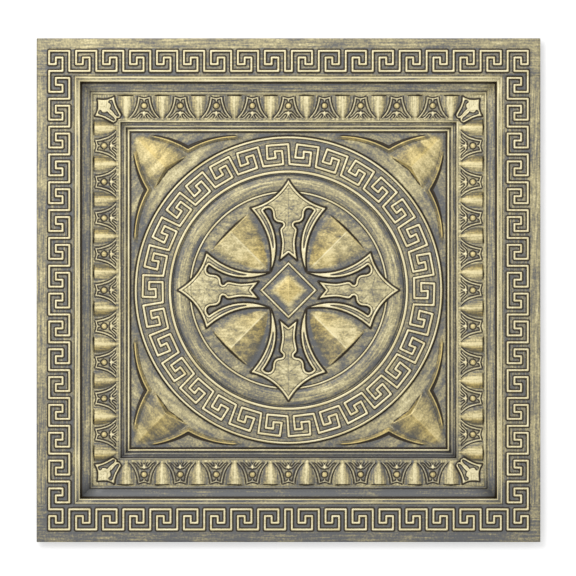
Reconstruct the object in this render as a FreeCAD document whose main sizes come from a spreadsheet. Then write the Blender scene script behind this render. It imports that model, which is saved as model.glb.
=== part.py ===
"""Pressed tin ceiling tile, lying face up.

One square sheet of tin plate, pressed between two dies. From the edge inwards it has a flat
rim with a Greek key, a rail, a cove, a bead, an egg-and-dart band with a palmette in each
corner, and three fine lines, which step down to a square coffer. In the coffer lie a skirt
with four corner leaves, a ring with a second Greek key, a round roll, four petals, a cross of
four arms and a diamond.

The face die is a block with these forms on it. The sheet is what lies between that die and a
plainer one lowered by the thickness of the plate, so the back follows the face. The back stays
smooth under the shallow forms: keys, eggs, palmettes and fine round lines.
The origin is under the middle of the tile, at the back of the coffer. Z is up, in millimetres.
"""

import FreeCAD
import Part
import Sketcher
import math
import os

V = FreeCAD.Vector

# Driving sizes: name, value in millimetres or degrees, what it is
SIZES = [
    ("tile_side", 603.0, "side of the square sheet"),
    ("sheet_thickness", 0.4, "thickness of the tin plate"),
    ("rim_height", 10.0, "back of the rim above the back of the coffer"),
    ("die_depth", 4.0, "block of the die below the back of the coffer"),
    ("rim_margin", 15.0, "edge of the sheet to the middle of the outer key line"),
    ("key_row_pitch", 8.03, "between the rows of the border key"),
    ("key_gap", 6.6, "middle of the inner key line to the foot of the rail"),
    ("rail_slope", 1.7, "width of each side of the rail"),
    ("rail_flat", 3.8, "flat top of the rail"),
    ("rail_height", 2.0, "rail above the rim"),
    ("rail_drop", 1.0, "foot of the rail below the rim, on the inside"),
    ("cove_width", 9.6, "width of the cove"),
    ("cove_drop", 3.2, "fall of the cove"),
    ("bead_slope", 1.7, "width of each side of the bead"),
    ("bead_flat", 1.4, "flat top of the bead"),
    ("bead_height", 1.1, "bead above its feet"),
    ("bead_gap", 0.9, "valley between the bead and the egg-and-dart band"),
    ("egg_band_width", 29.9, "width of the egg-and-dart band"),
    ("egg_band_drop", 3.4, "fall of the egg-and-dart band"),
    ("egg_band_bulge", 1.0, "rise of the band's section above its chord"),
    ("fine_slope", 0.9, "width of each side of a fine line"),
    ("fine_flat", 1.3, "flat top of a fine line"),
    ("fine_height", 0.9, "fine line above its outer foot"),
    ("fine_drop", 1.0, "fall from one fine line to the next"),
    ("fine_gap_outer", 3.0, "flat between the first and second fine lines"),
    ("fine_gap_inner", 1.3, "flat between the second and third fine lines"),
    ("egg_height", 2.0, "top of an egg above the egg-and-dart band"),
    ("egg_half_width", 12.6, "half the width of an egg at its outer end"),
    ("egg_waist_half", 9.2, "half the width of an egg at its middle"),
    ("egg_point_half", 1.4, "half the width of an egg at its point"),
    ("egg_end_gap", 1.2, "outer edge of the band to the egg's outer end"),
    ("egg_point_gap", 2.6, "egg's point to the inner edge of the band"),
    ("egg_corner_space", 12.6, "inner corner of the band to the middle of the corner space"),
    ("palmette_foot_gap", 0.4, "band's inner corner to the palmette's foot, along the diagonal"),
    ("palmette_length", 35.0, "length of the palmette in the corner, along the diagonal"),
    ("palmette_shoulder", 13.1, "tip of the palmette to its shoulders, along the diagonal"),
    ("palmette_half_width", 16.3, "half the width of the palmette at its shoulders"),
    ("palmette_foot_half", 5.4, "half the width of the palmette at its foot"),
    ("palmette_brow_bow", 2.3, "bow of the palmette's edge from tip to shoulder"),
    ("palmette_side_bow", 0.6, "bow of the palmette's edge from shoulder to foot"),
    ("palmette_height", 1.6, "palmette above the egg-and-dart band"),
    ("key_line_width", 3.6, "width of a border key line"),
    ("key_line_height", 1.5, "border key line above the rim"),
    ("ring_clearance", 5.2, "frame's inner foot to the ring"),
    ("ring_floor", 3.2, "floor of the ring above the back of the coffer"),
    ("ring_rail_slope", 1.1, "width of each side of a ring rail"),
    ("ring_rail_flat", 1.4, "flat top of a ring rail"),
    ("ring_rail_height", 1.4, "ring rail above the floor of the ring"),
    ("ring_key_outer_gap", 6.2, "outer rail's foot to the middle of the outer key line"),
    ("ring_key_inner_gap", 7.3, "inner rail's foot to the middle of the inner key line"),
    ("ring_key_row_pitch", 7.93, "between the rows of the ring's key"),
    ("ring_line_width", 3.2, "width of a ring key line"),
    ("ring_line_height", 1.2, "ring key line above the floor of the ring"),
    ("ring_fall_width", 3.0, "inner rail's flat top to the foot of the roll"),
    ("roll_width", 19.2, "width of the round roll"),
    ("roll_foot", 1.6, "feet of the round roll above the back of the coffer"),
    ("roll_height", 2.8, "crest of the round roll above its feet"),
    ("circle_slope", 0.9, "width of each side of the thin circle"),
    ("circle_flat", 0.9, "flat top of the thin circle"),
    ("circle_height", 1.2, "thin circle above the feet of the roll"),
    ("skirt_height", 1.4, "top of the skirt, and of the disc's floor, above the back of the coffer"),
    ("skirt_draft", 0.8, "width of the skirt's drafted side"),
    ("cusp_clearance", 18.6, "ring to the cusp of the skirt, along the diagonal"),
    ("cusp_offset", 32.0, "cusp of the skirt off the diagonal"),
    ("skirt_mouth", 54.4, "half the width of the skirt at the frame"),
    ("skirt_bow", 2.9, "bow of the skirt's long arcs"),
    ("leaf_clearance", 14.9, "ring to the corners of the leaf's back, along the diagonal"),
    ("leaf_notch", 3.5, "depth of the notch in the foot of the leaf's back"),
    ("leaf_back", 8.5, "corners of the leaf's back to its peak, along the diagonal"),
    ("leaf_tip_gap", 4.0, "tip of the leaf to the corner of the coffer"),
    ("leaf_half_width", 25.5, "half the width of the leaf at its back"),
    ("leaf_height", 7.4, "peak of the leaf above the back of the coffer"),
    ("leaf_tip_height", 1.8, "ridge of the leaf where it runs out, above the back of the coffer"),
    ("form_draft", 0.9, "width of the drafted foot of a leaf or petal"),
    ("petal_inner_gap", 10.0, "side of the diamond to the inner point of the petal"),
    ("petal_outer_gap", 17.3, "outer corners of the petal to the thin circle, on the diagonal"),
    ("petal_half_width", 30.6, "half the width of the petal at its outer edge"),
    ("petal_height", 5.2, "outer end of the petal's ridge above the back of the coffer"),
    ("petal_bow", 3.3, "bow of the petal's outer edge"),
    ("arm_height", 5.0, "top of a cross arm above the back of the coffer"),
    ("arm_draft", 1.1, "width of a cross arm's drafted side"),
    ("arm_overlap", 3.7, "tip of a cross arm beyond the middle of the roll"),
    ("arm_brow", 34.0, "tip of a cross arm to its shoulders"),
    ("arm_brow_bow", 6.1, "bow of the arm's edge from tip to shoulder"),
    ("shoulder_half", 45.2, "shoulder from the arm's axis"),
    ("horn_height", 24.2, "lower end of the horn from the middle of the tile"),
    ("horn_half", 20.8, "lower end of the horn from the arm's axis"),
    ("horn_end", 2.6, "width of the horn's lower end"),
    ("horn_outer_bow", 9.0, "bow of the horn's outer edge"),
    ("horn_inner_bow", 10.4, "bow of the horn's inner edge"),
    ("slot_drop", 3.1, "shoulder to the upper corner of the slot beside the shaft"),
    ("slot_half", 30.2, "upper corner of the slot from the arm's axis"),
    ("slot_rise", 3.0, "upper edge of the slot above its corner"),
    ("urn_half", 18.6, "half the width of the urn under the arm's head"),
    ("urn_height", 14.4, "upper corner of the slot to the foot of the urn"),
    ("urn_lip", 1.8, "lip of the urn beyond its side"),
    ("urn_round", 6.3, "radius of the round at the urn's foot"),
    ("neck_half", 6.3, "half the width of the shaft's neck"),
    ("neck_round", 2.4, "foot of the urn to the neck, down and across"),
    ("neck_height", 9.0, "foot of the urn to the bulge of the shaft"),
    ("bulge_half", 10.2, "half the width of the shaft's bulge"),
    ("waist_drop", 14.8, "bulge of the shaft to its waist"),
    ("waist_half", 7.8, "half the width of the shaft's waist"),
    ("shaft_clearance", 2.0, "point of the diamond to the foot of the shaft"),
    ("shaft_foot_half", 10.3, "foot of the shaft from the arm's axis"),
    ("shaft_bow", 0.5, "bow of the shaft's side from its waist to its foot"),
    ("shaft_notch", 8.6, "depth of the notch in the shaft's foot"),
    ("diamond_half", 34.0, "half the diagonal of the diamond, over its line"),
    ("diamond_slope", 1.1, "width of each side of the diamond's line, along the diagonal"),
    ("diamond_flat", 1.3, "flat top of the diamond's line, along the diagonal"),
    ("diamond_gap", 6.0, "line to the foot of the pyramid, along the diagonal"),
    ("diamond_rise", 1.6, "line round the diamond above the floor of the disc"),
    ("diamond_floor_rise", 0.2, "floor within that line above the floor of the disc"),
    ("pyramid_rise", 3.6, "point of the pyramid above the floor of the disc"),
    ("pyramid_flat", 0.4, "half the diagonal of the pyramid's blunt point"),
]


class Dim:
    """A number with the sheet expression that gives it, so that a drawing can be bound to it."""

    def __init__(self, value, text):
        self.value = value
        self.text = text

    def joined(self, sign, other, value):
        """This number and another one, with the expression of both."""
        text = other.text if isinstance(other, Dim) else repr(float(other))
        return Dim(value, f"({self.text} {sign} {text})")

    def __add__(self, other):
        return self.joined("+", other, self.value + float(other))

    def __sub__(self, other):
        return self.joined("-", other, self.value - float(other))

    def __mul__(self, other):
        return self.joined("*", other, self.value * float(other))

    def __truediv__(self, other):
        return self.joined("/", other, self.value / float(other))

    def __float__(self):
        return self.value


class Sizes:
    """The driving sizes, each as a Dim that is read from the document's sheet."""

    def __init__(self, sheet):
        for name, _, _ in SIZES:
            setattr(self, name, Dim(float(sheet.get(name)), f"sizes.{name}"))


def make_sheet(doc):
    """The spreadsheet, with one row for each driving size."""
    sheet = doc.addObject("Spreadsheet::Sheet", "sizes")
    for row, (name, value, note) in enumerate(SIZES, start=1):
        sheet.set(f"A{row}", name)
        sheet.set(f"B{row}", str(value))
        sheet.set(f"C{row}", note)
        sheet.setAlias(f"B{row}", name)
    doc.recompute()
    return sheet


# Helpers


def section(doc, name, corners, depth):
    """A closed section in the XZ plane. Each corner is a distance from the axis and a level."""
    sketch = doc.addObject("Sketcher::SketchObject", name)
    count = len(corners)
    drawn = [(out, level + depth) for out, level in corners]
    for i in range(count):
        start, end = drawn[i], drawn[(i + 1) % count]
        line = Part.LineSegment(V(float(start[0]), float(start[1])), V(float(end[0]), float(end[1])))
        sketch.addGeometry(line)
    for i in range(count):
        sketch.addConstraint(Sketcher.Constraint("Coincident", i, 2, (i + 1) % count, 1))
    for i in range(count):
        for axis, dim in zip("XY", drawn[i]):
            rule = Sketcher.Constraint("Distance" + axis, -1, 1, i, 1, float(dim))
            rule_name = f"{axis.lower()}_{i}"
            sketch.renameConstraint(sketch.addConstraint(rule), rule_name)
            sketch.setExpression(f"Constraints.{rule_name}", dim.text)
    sketch.Placement = FreeCAD.Placement(V(0, 0, 0), FreeCAD.Rotation(V(1, 0, 0), 90))
    sketch.setExpression("Placement.Base.z", f"-{depth.text}")
    return sketch


# Volume in cubic millimetres below which four corners count as lying in one plane
FLAT_VOLUME = 1e-6


def flat_or_split(corners):
    """A face on four corners, or two triangles where the corners aren't in one plane."""
    a, b, c, d = corners
    if abs((b - a).cross(c - a).dot(d - a)) < FLAT_VOLUME:
        return [Part.Face(Part.makePolygon([a, b, c, d, a]))]
    return [Part.Face(Part.makePolygon([a, b, c, a])), Part.Face(Part.makePolygon([a, c, d, a]))]


def solid_of(faces):
    """The solid inside a closed set of faces."""
    shell = Part.Shell(faces)
    shell.sewShape()
    solid = Part.Solid(shell)
    if solid.Volume < 0:
        solid.reverse()
    return solid


def walls(rings):
    """The faces between rings that have the same number of corners."""
    faces = []
    for low, high in zip(rings, rings[1:]):
        for i in range(len(low)):
            k = (i + 1) % len(low)
            faces += flat_or_split((low[i], low[k], high[k], high[i]))
    return faces


def stacked(rings):
    """A solid through level rings, with a flat cap at each end."""
    caps = [Part.Face(Part.makePolygon(ring + ring[:1])) for ring in (rings[0], rings[-1])]
    return solid_of(caps + walls(rings))


def vaulted(rings):
    """A solid through arches, each end closed with strips from its foot up to its top."""
    caps = []
    for ring in (rings[0], rings[-1]):
        half = len(ring) // 2
        feet, tops = ring[:half], ring[half:][::-1]
        for i in range(half - 1):
            caps += flat_or_split((feet[i], feet[i + 1], tops[i + 1], tops[i]))
    return solid_of(caps + walls(rings))


def ridge(path, width, low, high):
    """A raised line with two sloping sides along a closed path."""
    outside, inside = inset(path, -width / 2), inset(path, width / 2)
    rings = [at_level(outside, low), at_level(path, high), at_level(inside, low)]
    return solid_of(walls(rings + rings[:1]))


def inset(outline, width):
    """An anticlockwise outline moved inwards by a width, with mitred corners."""
    moved = []
    for i, point in enumerate(outline):
        before = (point - outline[i - 1]).normalize()
        after = (outline[(i + 1) % len(outline)] - point).normalize()
        inward = V(-before.y - after.y, before.x + after.x, 0).normalize()
        moved.append(point + inward * (width / inward.dot(V(-before.y, before.x, 0))))
    return moved


def at_level(points, level):
    """The same points at another level."""
    return [V(p.x, p.y, level) for p in points]


def bowed(start, end, bow, count):
    """Points from start to end, without the last, bowed to the left of the way by a distance."""
    way = end - start
    left = V(-way.y, way.x, 0).normalize()
    parts = [k / count for k in range(count)]
    return [start + way * t + left * (4 * bow * t * (1 - t)) for t in parts]


def on_diagonal(along, off):
    """A point of the first quarter, by its distance along the diagonal and off it, to the left."""
    return V((along - off) / math.sqrt(2), (along + off) / math.sqrt(2), 0)


def quarters(doc, name, shape, first_angle):
    """Four copies of a form, a quarter of a turn apart."""
    copies = []
    for k in range(4):
        form = doc.addObject("Part::Feature", f"{name}_{k + 1}")
        form.Shape = shape
        turn = FreeCAD.Rotation(V(0, 0, 1), first_angle + 90 * k)
        form.Placement = FreeCAD.Placement(V(0, 0, 0), turn)
        copies.append(form)
    return copies


# Square mouldings round the coffer


def frame_corners(s):
    """The frame's section from the edge of the sheet to the coffer, as distances and levels.

    The second value is the egg-and-dart band.
    """
    rim = s.rim_height + s.sheet_thickness
    corners = [(s.tile_side / 2, rim)]

    def step(width, level):
        corners.append((corners[-1][0] - width, level))

    step(s.rim_margin + s.key_row_pitch * 3 + s.key_gap, rim)
    step(s.rail_slope, rim + s.rail_height)
    step(s.rail_flat, rim + s.rail_height)
    level = rim - s.rail_drop
    step(s.rail_slope, level)
    cove_steps = 3
    for k in range(1, cove_steps + 1):
        left = 1 - k / cove_steps
        step(s.cove_width / cove_steps, level - s.cove_drop * (1 - left ** 2))
    level = level - s.cove_drop
    step(s.bead_slope, level + s.bead_height)
    step(s.bead_flat, level + s.bead_height)
    step(s.bead_slope, level)
    step(s.bead_gap, level)
    band_outer, band_top = corners[-1]
    band_steps = 2
    for k in range(1, band_steps + 1):
        part = k / band_steps
        bulge = s.egg_band_bulge * (4 * part * (1 - part))
        step(s.egg_band_width / band_steps, level - s.egg_band_drop * part + bulge)
    level = level - s.egg_band_drop
    band = Band(s, band_outer, corners[-1][0], band_top, level)
    for gap in (s.fine_gap_outer, s.fine_gap_inner):
        step(s.fine_slope, level + s.fine_height)
        step(s.fine_flat, level + s.fine_height)
        level = level - s.fine_drop
        step(s.fine_slope, level)
        step(gap, level)
    step(s.fine_slope, level + s.fine_height)
    step(s.fine_flat, level + s.fine_height)
    step(s.fine_slope, s.sheet_thickness)
    return corners, band


def make_frame(doc, s):
    """The frame's block, swept round the square with mitred corners, and the coffer's floor."""
    corners, band = frame_corners(s)
    coffer_half = corners[-1][0]
    bottom = Dim(-float(s.die_depth), f"(-{s.die_depth.text})")
    outline = [(coffer_half, bottom), (s.tile_side / 2, bottom)] + corners
    profile = section(doc, "frame_section", outline, s.die_depth)
    path = doc.addObject("Part::RegularPolygon", "frame_path")
    path.Polygon = 4
    path.setExpression("Circumradius", f"{s.tile_side.text} * sqrt(2) / 2")
    path.Placement = FreeCAD.Placement(V(0, 0, 0), FreeCAD.Rotation(V(0, 0, 1), 45))
    doc.recompute()
    frame = doc.addObject("Part::Sweep", "frame_block")
    frame.Sections = [profile]
    frame.Spine = (path, ["Edge1", "Edge2", "Edge3", "Edge4"])
    frame.Solid = True
    frame.Transition = "Right corner"
    field = doc.addObject("Part::Box", "field_block")
    for side in ("Length", "Width"):
        field.setExpression(side, f"{coffer_half.text} * 2")
    field.setExpression("Height", (s.die_depth + s.sheet_thickness).text)
    for axis in "xy":
        field.setExpression(f"Placement.Base.{axis}", f"-{coffer_half.text}")
    field.setExpression("Placement.Base.z", f"-{s.die_depth.text}")
    return frame, field, coffer_half, band


# Round mouldings of the disc


class Disc:
    """Radii of the round mouldings, each from the one outside it, from the frame inwards."""

    def __init__(self, s, coffer_half):
        rail = s.ring_rail_slope * 2 + s.ring_rail_flat
        self.edge = coffer_half - s.ring_clearance
        self.outer_rail_foot = self.edge - rail
        self.outer_row = self.outer_rail_foot - s.ring_key_outer_gap
        self.inner_row = self.outer_row - s.ring_key_row_pitch * 3
        self.inner_rail_foot = self.inner_row - s.ring_key_inner_gap
        self.inner_rail_top = self.inner_rail_foot - s.ring_rail_slope - s.ring_rail_flat
        self.roll_outside = self.inner_rail_top - s.ring_fall_width
        self.roll_middle = self.roll_outside - s.roll_width / 2
        self.roll_inside = self.roll_outside - s.roll_width
        self.inside = self.roll_inside - s.circle_slope * 2 - s.circle_flat


def disc_corners(s, disc, fine):
    """The disc's section from its edge to the axis, with or without its fine lines.

    Without them the roll is plainer too.
    """
    nothing = Dim(0.0, "0.0")
    floor = s.skirt_height
    rail_top = s.ring_floor + s.ring_rail_height
    circle_top = s.roll_foot + s.circle_height
    corners = [(nothing, nothing), (disc.edge + s.ring_rail_slope, nothing)]
    corners.append((disc.edge, s.skirt_height))
    if fine:
        corners.append((disc.edge - s.ring_rail_slope, rail_top))
        corners.append((disc.outer_rail_foot + s.ring_rail_slope, rail_top))
    corners.append((disc.outer_rail_foot, s.ring_floor))
    corners.append((disc.inner_rail_foot, s.ring_floor))
    if fine:
        corners.append((disc.inner_rail_foot - s.ring_rail_slope, rail_top))
        corners.append((disc.inner_rail_top, rail_top))
    roll_steps = 4 if fine else 2
    for k in range(roll_steps + 1):
        turn = math.pi * k / roll_steps
        out = disc.roll_middle + s.roll_width * (math.cos(turn) / 2)
        corners.append((out, s.roll_foot + s.roll_height * abs(math.sin(turn))))
    if fine:
        corners.append((disc.roll_inside - s.circle_slope, circle_top))
        corners.append((disc.inside + s.circle_slope, circle_top))
    corners.append((disc.inside, floor))
    corners.append((nothing, floor))
    return corners


def make_disc(doc, s, disc, name, fine):
    """The disc's block: thin circle, round roll and ring, turned about the middle."""
    block = doc.addObject("Part::Revolution", name)
    corners = disc_corners(s, disc, fine)
    block.Source = section(doc, f"{name}_section", corners, s.die_depth)
    block.Axis = V(0, 0, 1)
    block.Angle = 360
    block.Solid = True
    return block


# Skirt and leaves in the corners of the coffer

# Places of the skirt's corners beside a leaf, as shares of the way from its cusp to the tip
SKIRT_PARTS = (0.85, 0.6, 0.3)


def skirt_outline(s, coffer_half, disc):
    """The skirt's anticlockwise outline: eight long arcs, eight cusps and eight leaf arcs."""
    edge = float(coffer_half)
    along, off = float(disc.edge + s.cusp_clearance), float(s.cusp_offset)
    reach = edge * math.sqrt(2) - along
    cusp = on_diagonal(along, off)
    eighth = []
    for part in SKIRT_PARTS:
        eighth.append(on_diagonal(along + reach * part, off * (1 - part ** 2)))
    mouth = V(float(s.skirt_mouth), edge, 0)
    eighth += bowed(cusp, mouth, -float(s.skirt_bow), 3) + [mouth]
    mirrored = [V(p.y, p.x, 0) for p in reversed(eighth)]
    quarter = mirrored + [V(edge, edge, 0)] + eighth
    outline = []
    for k in range(4):
        turn = FreeCAD.Rotation(V(0, 0, 1), 90 * k)
        outline += [turn.multVec(p) for p in quarter]
    return outline


def make_skirt(doc, s, coffer_half, disc):
    """The skirt: a low plate round the ring, with cusps and a drafted side."""
    outline = skirt_outline(s, coffer_half, disc)
    top = at_level(inset(outline, float(s.skirt_draft)), float(s.skirt_height))
    skirt = doc.addObject("Part::Feature", "skirt")
    skirt.Shape = stacked([at_level(outline, 0), top])
    return skirt


# Share of a leaf's or petal's half width and height at each corner of its section
ARCH_SHARES = ((-1.0, 0.3), (-0.62, 0.74), (0.0, 1.0), (0.62, 0.74), (1.0, 0.3))

# Places of the sections, as shares of the length: of a leaf from its back, of a petal from its point
LEAF_PARTS = (0.35, 0.62, 0.85)
PETAL_PARTS = (0.25, 0.58, 1.0)


def arch(along, half, ridge_level, draft):
    """Corners of a section across the X axis: five feet, then two bowed sides and a ridge."""
    feet = [V(along, across * (half + draft), 0) for across, _ in ARCH_SHARES]
    tops = [V(along, across * half, up * ridge_level) for across, up in ARCH_SHARES]
    return feet + tops[::-1]


def make_leaves(doc, s, coffer_half, disc):
    """The four corner leaves, each with a ridge, two bowed faces and a steep notched back."""
    foot = float(disc.edge + s.leaf_clearance)
    length = float(coffer_half) * math.sqrt(2) - float(s.leaf_tip_gap) - foot
    half, draft = float(s.leaf_half_width), float(s.form_draft)
    high, low = float(s.leaf_height), float(s.leaf_tip_height)
    back = arch(foot, half, high, draft)
    for corner in back:
        inward = max(0.0, 1 - abs(corner.y) / half)
        if corner.z > 0:
            corner.x += draft + (float(s.leaf_back) - draft) * inward
        else:
            corner.x += float(s.leaf_notch) * inward
    rings = [back]
    peak_part = float(s.leaf_back) / length
    for part in LEAF_PARTS:
        width = half * (1 - part ** 2)
        level = high + (low - high) * (part - peak_part) / (LEAF_PARTS[-1] - peak_part)
        rings.append(arch(foot + length * part, width, level, draft))
    rings.append(arch(foot + length, draft / 2, float(s.sheet_thickness) / 2, draft / 4))
    return quarters(doc, "leaf", vaulted(rings), 45)


def make_petals(doc, s, disc):
    """The four petals between the arms, each with a ridge that rises to a bowed outer edge."""
    apex = float(s.diamond_half) / math.sqrt(2) + float(s.petal_inner_gap)
    length = float(disc.inside - s.petal_outer_gap) - apex
    half, draft = float(s.petal_half_width), float(s.form_draft)
    low, high = float(s.skirt_height), float(s.petal_height)
    rings = [arch(apex, draft / 2, low / 2, draft / 4)]
    for part in PETAL_PARTS:
        width = half * (1 - (1 - part) ** 2)
        rings.append(arch(apex + length * part, width, low + (high - low) * part, draft))
    for corner in rings[-1]:
        inward = max(0.0, 1 - (corner.y / half) ** 2)
        corner.x += float(s.petal_bow) * inward + (draft if corner.z == 0 else 0)
    return quarters(doc, "petal", vaulted(rings), 45)


# Cross and diamond


def arm_outline(s, disc):
    """The anticlockwise outline of the arm that points along +Y, from its tip."""
    tip = V(0, float(disc.roll_middle + s.arm_overlap), 0)
    shoulder = V(-float(s.shoulder_half), tip.y - float(s.arm_brow), 0)
    horn_out = V(-float(s.horn_half + s.horn_end / 2), float(s.horn_height), 0)
    horn_in = V(-float(s.horn_half - s.horn_end / 2), float(s.horn_height), 0)
    slot = V(-float(s.slot_half), shoulder.y - float(s.slot_drop), 0)
    slot_top = slot.y + float(s.slot_rise)
    urn, urn_foot = float(s.urn_half), slot.y - float(s.urn_height)
    urn_round = float(s.urn_round)
    cut = urn_round * (1 - math.cos(math.pi / 4))
    neck, neck_round = float(s.neck_half), float(s.neck_round)
    bulge = V(-float(s.bulge_half), urn_foot - float(s.neck_height), 0)
    waist = V(-float(s.waist_half), bulge.y - float(s.waist_drop), 0)
    foot = V(-float(s.shaft_foot_half), float(s.diamond_half + s.shaft_clearance), 0)
    half = bowed(tip, shoulder, float(s.arm_brow_bow), 3)
    half += bowed(shoulder, horn_out, float(s.horn_outer_bow), 4) + [horn_out]
    half += bowed(horn_in, slot, -float(s.horn_inner_bow), 4) + [slot]
    half += [
        V((slot.x - urn) / 2, slot_top, 0),
        V(-urn - float(s.urn_lip), (slot.y + slot_top) / 2, 0),
        V(-urn, urn_foot + urn_round, 0),
        V(-urn + cut, urn_foot + cut, 0),
        V(-urn + urn_round, urn_foot, 0),
        V(-neck - neck_round, urn_foot, 0),
        V(-neck, urn_foot - neck_round, 0),
        bulge,
    ]
    half += bowed(waist, foot, float(s.shaft_bow), 2) + [foot]
    notch = V(0, foot.y + float(s.shaft_notch), 0)
    return half + [notch] + [V(-p.x, p.y, 0) for p in reversed(half[1:])]


def make_arms(doc, s, disc):
    """The four arms of the cross, each a raised plate with drafted sides."""
    outline = arm_outline(s, disc)
    top = at_level(inset(outline, float(s.arm_draft)), float(s.arm_height))
    return quarters(doc, "arm", stacked([at_level(outline, 0), top]), 0)


def make_diamond(doc, s):
    """The diamond in the middle: a raised line round a low pyramid."""
    floor = float(s.skirt_height)
    line_top = floor + float(s.diamond_rise)
    outside = float(s.diamond_half)
    slope, flat = float(s.diamond_slope), float(s.diamond_flat)
    foot = outside - slope * 2 - flat
    levels = [
        (outside, 0.0),
        (outside - slope, line_top),
        (outside - slope - flat, line_top),
        (foot, floor + float(s.diamond_floor_rise)),
        (foot - float(s.diamond_gap), floor + float(s.diamond_floor_rise)),
        (float(s.pyramid_flat), floor + float(s.pyramid_rise)),
    ]
    rings = [[V(r, 0, z), V(0, r, z), V(-r, 0, z), V(0, -r, z)] for r, z in levels]
    diamond = doc.addObject("Part::Feature", "diamond")
    diamond.Shape = stacked(rings)
    return diamond


# Eggs of the egg-and-dart band, and the palmettes in its corners

# Flat top of an egg as a share of its width, and height of its point as a share of its height
EGG_FLAT_SHARE = 0.55
EGG_POINT_SHARE = 0.2


class Band:
    """The egg-and-dart band's outer and inner distance, and its level between them."""

    def __init__(self, s, outer, inner, top, foot):
        self.outer, self.inner, self.top, self.foot = (float(v) for v in (outer, inner, top, foot))
        self.bulge = float(s.egg_band_bulge)

    def level(self, distance):
        """The level at a distance from the middle of the tile."""
        part = (self.outer - distance) / (self.outer - self.inner)
        return self.top - (self.top - self.foot) * part + self.bulge * 4 * part * (1 - part)


def make_eggs(doc, s, band):
    """A row of eggs for each side, on a bar inside the block.

    An egg has a flat top between two sloping sides, and narrows from its outer end to its point.
    """
    start, point = band.outer - float(s.egg_end_gap), band.inner + float(s.egg_point_gap)
    draft = float(s.form_draft)
    stations = [
        (start, float(s.egg_half_width), 1.0),
        ((start + point) / 2, float(s.egg_waist_half), 1.0),
        (point, float(s.egg_point_half), EGG_POINT_SHARE),
    ]
    sunk = float(s.sheet_thickness) / 2
    rings = []
    for distance, half, share in stations:
        low = band.level(distance) - sunk
        high = band.level(distance) + float(s.egg_height) * share
        lean = draft * (1 if distance == start else -1 if distance == point else 0)
        wide = half + draft
        feet = [V(across, distance + lean, 0) for across in (-wide, -wide / 2, wide / 2, wide)]
        flat = half * EGG_FLAT_SHARE
        tops = [V(half, distance, low), V(flat, distance, high), V(-flat, distance, high)]
        rings.append(feet + tops + [V(-half, distance, low)])
    egg = vaulted(rings)
    eggs_per_half_side = 5
    pitch = (band.inner + float(s.egg_corner_space)) / eggs_per_half_side
    eggs = []
    for i in range(-eggs_per_half_side, eggs_per_half_side):
        eggs.append(egg.translated(V((i + 0.5) * pitch, 0, 0)))
    corner = V(-band.inner, point, 0)
    bar = Part.makeBox(2 * band.inner, start - point, band.foot / 2, corner)
    return quarters(doc, "egg_row", bar.multiFuse(eggs).Solids[0], 0)


def make_palmettes(doc, s, band):
    """The palmettes, one on each mitre of the band, as plates that follow the band's slopes."""
    foot = V(band.inner * math.sqrt(2) + float(s.palmette_foot_gap), float(s.palmette_foot_half), 0)
    tip = V(foot.x + float(s.palmette_length), 0, 0)
    shoulder = V(tip.x - float(s.palmette_shoulder), float(s.palmette_half_width), 0)
    side = bowed(tip, shoulder, float(s.palmette_brow_bow), 2)
    side += bowed(shoulder, foot, float(s.palmette_side_bow), 2) + [foot]
    outline = side + [V(p.x, -p.y, 0) for p in reversed(side[1:])]
    top = inset(outline, float(s.form_draft))
    hub = V((shoulder.x + foot.x) / 2, 0, 0)
    for corner in top + [hub]:
        distance = (corner.x + abs(corner.y)) / math.sqrt(2)
        corner.z = band.level(distance) + float(s.palmette_height)
    faces = walls([outline, top]) + [Part.Face(Part.makePolygon(outline + outline[:1]))]
    for i in range(len(top)):
        faces.append(Part.Face(Part.makePolygon([top[i - 1], top[i], hub, top[i - 1]])))
    return quarters(doc, "palmette", solid_of(faces), 45)


# Greek keys

# One unit of the border key as columns and rows, from the column before it to the next unit
KEY_UNIT = ((2, 0), (2, 2), (1, 2), (1, 1), (0, 1), (0, 3), (3, 3), (3, 0))

# One unit of the ring's key as shares of its angle, and rows
RING_UNIT = (
    (0.7625, 0), (0.7375, 2), (0.483, 2), (0.5, 1), (0.2, 1), (0.242, 3), (0.95, 3), (1.0, 0),
)


def border_key_path(s):
    """The border key's closed line, anticlockwise: a quarter of it, mirrored to each side."""
    outer = float(s.tile_side / 2 - s.rim_margin)
    row_pitch = float(s.key_row_pitch)
    inner = outer - row_pitch * 3
    top_units, side_units = 9, 8
    column = outer / (top_units * 4 - 0.5)
    side_column = inner / (side_units * 4 - 0.5)

    def row(k):
        return inner + row_pitch * k

    # From the middle of the right side up to the corner, then along the top to its middle
    quarter = []
    for unit in range(side_units):
        start = (unit * 4 + 0.5) * side_column
        quarter += [V(row(k), start + c * side_column, 0) for c, k in KEY_UNIT]
    quarter[-1:] = [V(row(1), inner, 0), V(row(1), row(2), 0), V(row(2), row(2), 0)]
    quarter += [V(row(2), row(1), 0), V(row(3), row(1), 0), V(row(3), row(3), 0)]
    quarter += [V(inner, row(3), 0), V(inner, inner, 0)]
    for unit in range(1, top_units):
        start = outer - unit * 4 * column
        quarter += [V(start - c * column, row(k), 0) for c, k in KEY_UNIT]
    left = [V(-p.x, p.y, 0) for p in reversed(quarter)]
    below = [V(p.x, -p.y, 0) for p in reversed(quarter + left)]
    return quarter + left + below


def ring_key_path(s, disc):
    """The ring key's closed line, anticlockwise, from its unit, which runs clockwise."""
    units = 30
    first_angle = math.radians(89.5)
    path = []
    for unit in range(units):
        for share, row in RING_UNIT:
            angle = first_angle - (unit + share) * 2 * math.pi / units
            radius = float(disc.inner_row) + row * float(s.ring_key_row_pitch)
            path.append(V(radius * math.cos(angle), radius * math.sin(angle), 0))
    return path[::-1]


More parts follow.
